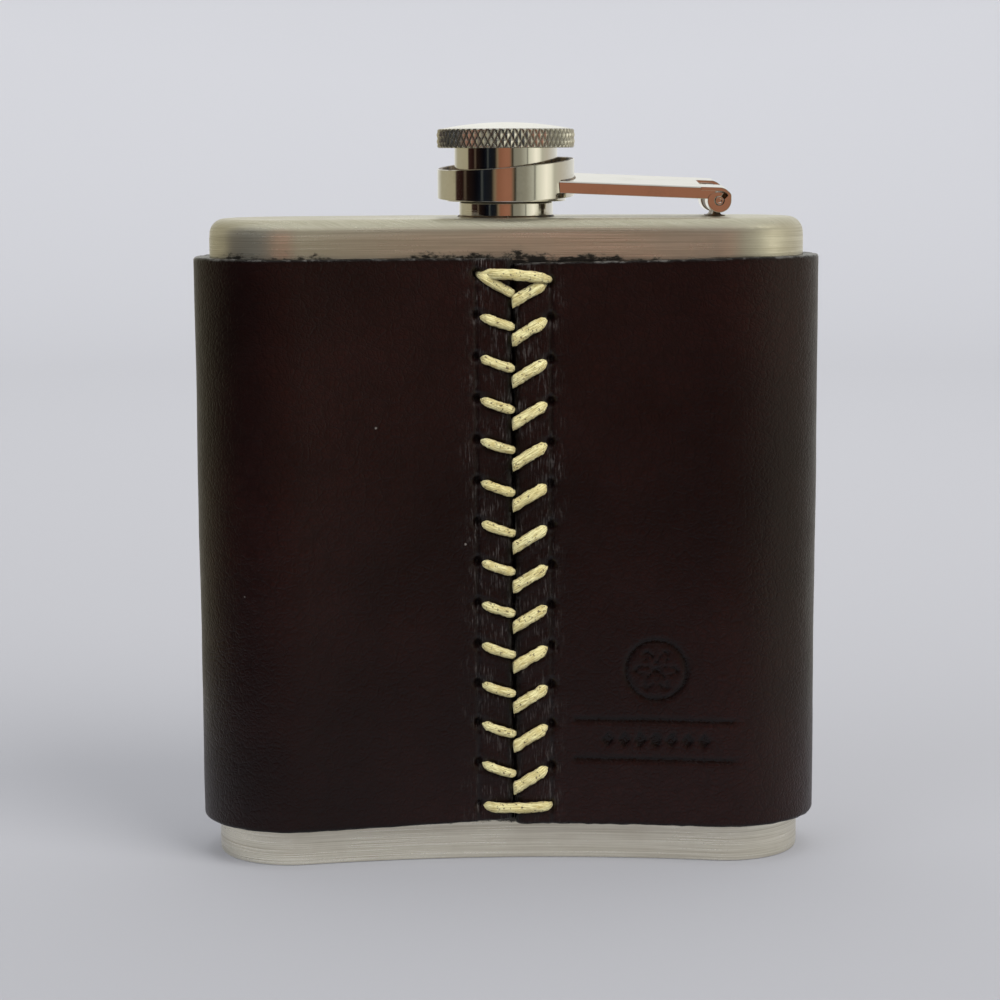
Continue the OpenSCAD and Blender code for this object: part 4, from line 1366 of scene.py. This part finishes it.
# %% Make the bright and dark metals
def polished_finish():
    made, tree, shader, coords = material("polished_steel", Metallic=1.0)
    marks = use(tree, smudges, {"Vector": coords, "Scale": 240.0, "Amount": 0.5})["Mask"]
    lines = use(tree, brushing, {"Vector": coords, "Fineness": 9000.0, "Length": 300.0})["Streak"]
    tone = blend_colour(tree, times(tree, marks, 0.5), (0.84, 0.825, 0.785), (0.70, 0.68, 0.62))
    tree.links.new(tone, shader.inputs["Base Color"])
    rough = plus(tree, spread(tree, marks, 0.0, 1.0, 0.045, 0.12), times(tree, lines, 0.02))
    tree.links.new(rough, shader.inputs["Roughness"])
    raise_bump(tree, shader, lines, 0.000006, 0.4)
    return made


def knurled_finish():
    made, tree, shader, coords = material("knurled_steel", Metallic=0.95)
    offset = vector_math(tree, "ADD", coords, (0.0, -NECK_Y, 0.0))
    flat = vector_math(tree, "MULTIPLY", offset, (1.0, 1.0, 0.0))
    out = node(tree, "ShaderNodeVectorMath", {0: flat}, operation="LENGTH").outputs["Value"]
    z, band_top = split(tree, coords)["Z"], HEAD_Z + HEAD_H
    below = spread(tree, z, band_top + 0.00005, band_top - 0.0001)
    band = times(tree, below, spread(tree, out, HEAD_R - 0.0012, HEAD_R - 0.0009))
    valley = times(tree, spread(tree, out, HEAD_R - 0.00008, HEAD_R - KNURL_DEPTH), band)
    marks = use(tree, smudges, {"Vector": coords, "Scale": 260.0, "Amount": 0.5})["Mask"]
    tone = blend_colour(tree, times(tree, marks, 0.25), (0.92, 0.905, 0.84), (0.70, 0.67, 0.57))
    # Painted shade darkens the knurl's grooves.
    tone = blend_colour(tree, times(tree, valley, 0.8), tone, (0.09, 0.073, 0.045))
    tree.links.new(tone, shader.inputs["Base Color"])
    rough = plus(tree, spread(tree, marks, 0.0, 1.0, 0.12, 0.19), times(tree, valley, 0.18))
    tree.links.new(rough, shader.inputs["Roughness"])
    fine = fine_noise(tree, coords, 2600.0, 3.0, 0.6)
    raise_bump(tree, shader, fine, 0.00001, 0.5)
    return made


def heat_tinted_finish():
    made, tree, shader, coords = material("heat_tinted_steel", Metallic=0.9)
    heat = fine_noise(tree, coords, 420.0, 4.0, 0.6)
    tone = blend_colour(tree, spread(tree, heat, 0.38, 0.55), (0.10, 0.095, 0.10), (0.26, 0.19, 0.12))
    tone = blend_colour(tree, spread(tree, heat, 0.56, 0.72), tone, (0.42, 0.39, 0.34))
    tree.links.new(tone, shader.inputs["Base Color"])
    tree.links.new(spread(tree, heat, 0.3, 0.7, 0.48, 0.30), shader.inputs["Roughness"])
    raise_bump(tree, shader, fine_noise(tree, coords, 1500.0, 4.0, 0.7), 0.00006, 0.8)
    return made


def rubber_finish():
    made, tree, shader, coords = material("white_rubber", Specular_IOR_Level=0.4)
    darkening = fine_noise(tree, coords, 300.0, 3.0, 0.6)
    tone = blend_colour(tree, spread(tree, darkening, 0.4, 0.8), (0.72, 0.72, 0.69), (0.58, 0.56, 0.50))
    tree.links.new(tone, shader.inputs["Base Color"])
    tree.links.new(spread(tree, darkening, 0.3, 0.7, 0.55, 0.7), shader.inputs["Roughness"])
    raise_bump(tree, shader, fine_noise(tree, coords, 3000.0, 3.0, 0.6), 0.00002, 0.6)
    return made


polished_steel, knurled_steel = polished_finish(), knurled_finish()
heat_tinted_steel, white_rubber = heat_tinted_finish(), rubber_finish()
dress(polished_steel, spout, skirt, washer, ring, arm, pin)
dress(knurled_steel, head)
dress(heat_tinted_steel, weld, bracket, braze, insert)
# The ring's unpolished inside gets the darker heat-tinted finish, which also serves as painted shade inside the
# ring.
ring.data.materials.append(heat_tinted_steel)
dress(white_rubber, gasket)
print("materials:", sorted(m.name for m in bpy.data.materials if m.users))

# %% [markdown]
# ## Studio
# The flask stands on a pale floor that curves up all round into a pale wall, so there is
# no horizon from any side. The paper glows a little, as painted light, and is painted
# darker towards the front, as painted shade. Mirror metal shows whatever stands round it,
# so the world holds the studio's cards: a dark flag at the front left, a warm brown one
# behind the camera, a bright window at the right, and a pale ceiling light in a dark frame.
# Only reflections see it; soft area lights do the rest.

# %% Build the floor and the wall
def glowing_floor_finish():
    made, tree, shader, coords = material("glowing_studio_paper", Roughness=0.9, Specular_IOR_Level=0.1)
    y = split(tree, coords)["Y"]
    # Painted shade: the paper is darker towards the front, and its emission is painted light that makes it glow.
    tone = blend_colour(tree, spread(tree, y, -0.1, 1.3), (0.212, 0.213, 0.226), (0.455, 0.457, 0.480))
    tree.links.new(tone, shader.inputs["Base Color"])
    tree.links.new(tone, shader.inputs["Emission Color"])
    shader.inputs["Emission Strength"].default_value = 0.62
    return made


def studio():
    """A flat disc that reflections can see, and a bowl round it that they can't."""
    paper = glowing_floor_finish()
    inner, outer, wall_r = 0.13, 0.9, 0.6
    outlines = {"floor": [(0, 0), (inner, 0)],
                "wall": [(inner, 0)] + arc(outer, wall_r, wall_r, 270, 360, 16) + [(outer + wall_r, 2.2)]}
    for name, outline in outlines.items():
        bm = bmesh.new()
        turn(bm, outline, 96, close=False)
        bmesh.ops.remove_doubles(bm, verts=bm.verts, dist=1e-6)
        bmesh.ops.translate(bm, verts=bm.verts, vec=(0, 0, -0.0001))
        obj = to_object(bm, name)
        obj.data.materials.append(paper)
        if name == "wall":
            obj.visible_glossy = obj.visible_diffuse = obj.visible_shadow = False


studio()


# %% Hang the lights
def soft_light(name, place, size, power, colour=(1, 1, 1)):
    """A round light aimed at the middle of the flask, which reflections don't see."""
    data = bpy.data.lights.new(name, "AREA")
    data.shape = "DISK"
    data.size = size
    data.energy = power
    data.color = colour
    lamp = bpy.data.objects.new(name, data)
    target = Vector((0, 0, 0.055))
    lamp.location = place
    lamp.rotation_euler = (target - Vector(place)).to_track_quat("-Z", "Y").to_euler()
    lamp.visible_camera = False
    lamp.visible_glossy = False
    bpy.context.scene.collection.objects.link(lamp)


soft_light("key", (0.55, -0.55, 0.75), 0.7, 12.0, (1.0, 0.98, 0.95))
soft_light("fill", (-0.7, -0.6, 0.5), 0.8, 4.5, (0.95, 0.97, 1.0))
soft_light("overhead", (0.0, 0.25, 1.0), 0.9, 6.5)

# Cards and windows round the studio: (degrees round from the camera, colour).
CARDS = [(-180, (0.86, 0.86, 0.82)), (-158, (0.60, 0.58, 0.50)), (-140, (0.38, 0.35, 0.24)),
         (-97, (0.36, 0.32, 0.21)), (-93, (0.035, 0.016, 0.012)), (-78, (0.012, 0.004, 0.003)),
         (-74, (0.10, 0.075, 0.05)), (-70, (0.012, 0.006, 0.004)), (-52, (0.002, 0.002, 0.003)),
         (-45, (0.004, 0.005, 0.008)), (-42, (0.06, 0.065, 0.06)), (-39, (0.006, 0.008, 0.012)),
         (-25, (0.010, 0.010, 0.010)), (-20, (0.20, 0.15, 0.09)), (-15, (0.24, 0.10, 0.055)),
         (-2, (0.30, 0.13, 0.075)), (7, (0.30, 0.13, 0.075)), (11, (0.15, 0.105, 0.065)),
         (14, (0.012, 0.010, 0.006)), (17, (0.22, 0.21, 0.16)), (32, (0.26, 0.245, 0.185)),
         (46, (0.44, 0.43, 0.34)), (48, (0.12, 0.115, 0.09)), (51, (0.62, 0.61, 0.48)),
         (70, (1.00, 0.95, 0.78)), (80, (0.85, 0.82, 0.66)), (88, (0.48, 0.46, 0.36)),
         (104, (0.50, 0.46, 0.37)), (140, (0.66, 0.65, 0.60)), (180, (0.86, 0.86, 0.82))]


def hang_world():
    world = bpy.data.worlds.new("studio")
    bpy.context.scene.world = world
    world.use_nodes = True
    tree = world.node_tree
    tree.nodes.clear()
    towards = node(tree, "ShaderNodeTexCoord").outputs["Generated"]
    parts = split(tree, towards)
    back = times(tree, parts["Y"], -1.0)
    turned = math(tree, "ARCTAN2", parts["X"], back)
    share = plus(tree, math(tree, "DIVIDE", turned, tau), 0.5)
    ramp = node(tree, "ShaderNodeValToRGB", {"Fac": share})
    stops = ramp.color_ramp.elements
    for degrees, colour in CARDS[1:-1]:
        stops.new(degrees / 360 + 0.5).color = (*colour, 1)
    stops[0].color = (*CARDS[0][1], 1)
    stops[len(stops) - 1].color = (*CARDS[-1][1], 1)
    # Above the cards is a pale ceiling, and below them the near floor.
    high = spread(tree, parts["Z"], 0.50, 0.92)
    room = blend_colour(tree, high, ramp.outputs["Color"], (0.62, 0.63, 0.61))
    # The dark frame of the ceiling light draws a thin line along every fold.
    rim = times(tree, spread(tree, parts["Z"], 0.34, 0.38), spread(tree, parts["Z"], 0.50, 0.45))
    rim = times(tree, rim, spread(tree, parts["Y"], 0.0, -0.3, 0.0, 0.9))
    room = blend_colour(tree, rim, room, (0.012, 0.010, 0.008))
    low = spread(tree, parts["Z"], -0.50, -0.85)
    room = blend_colour(tree, low, room, (0.16, 0.15, 0.13))
    ambient = node(tree, "ShaderNodeBackground", {"Color": (0.80, 0.82, 0.86), "Strength": 0.55}).outputs[0]
    mirrored = node(tree, "ShaderNodeBackground", {"Color": room, "Strength": 1.0}).outputs[0]
    glossy = node(tree, "ShaderNodeLightPath").outputs["Is Glossy Ray"]
    both = node(tree, "ShaderNodeMixShader", {0: glossy, 1: ambient, 2: mirrored}).outputs[0]
    out = tree.nodes.new("ShaderNodeOutputWorld")
    tree.links.new(both, out.inputs["Surface"])


hang_world()
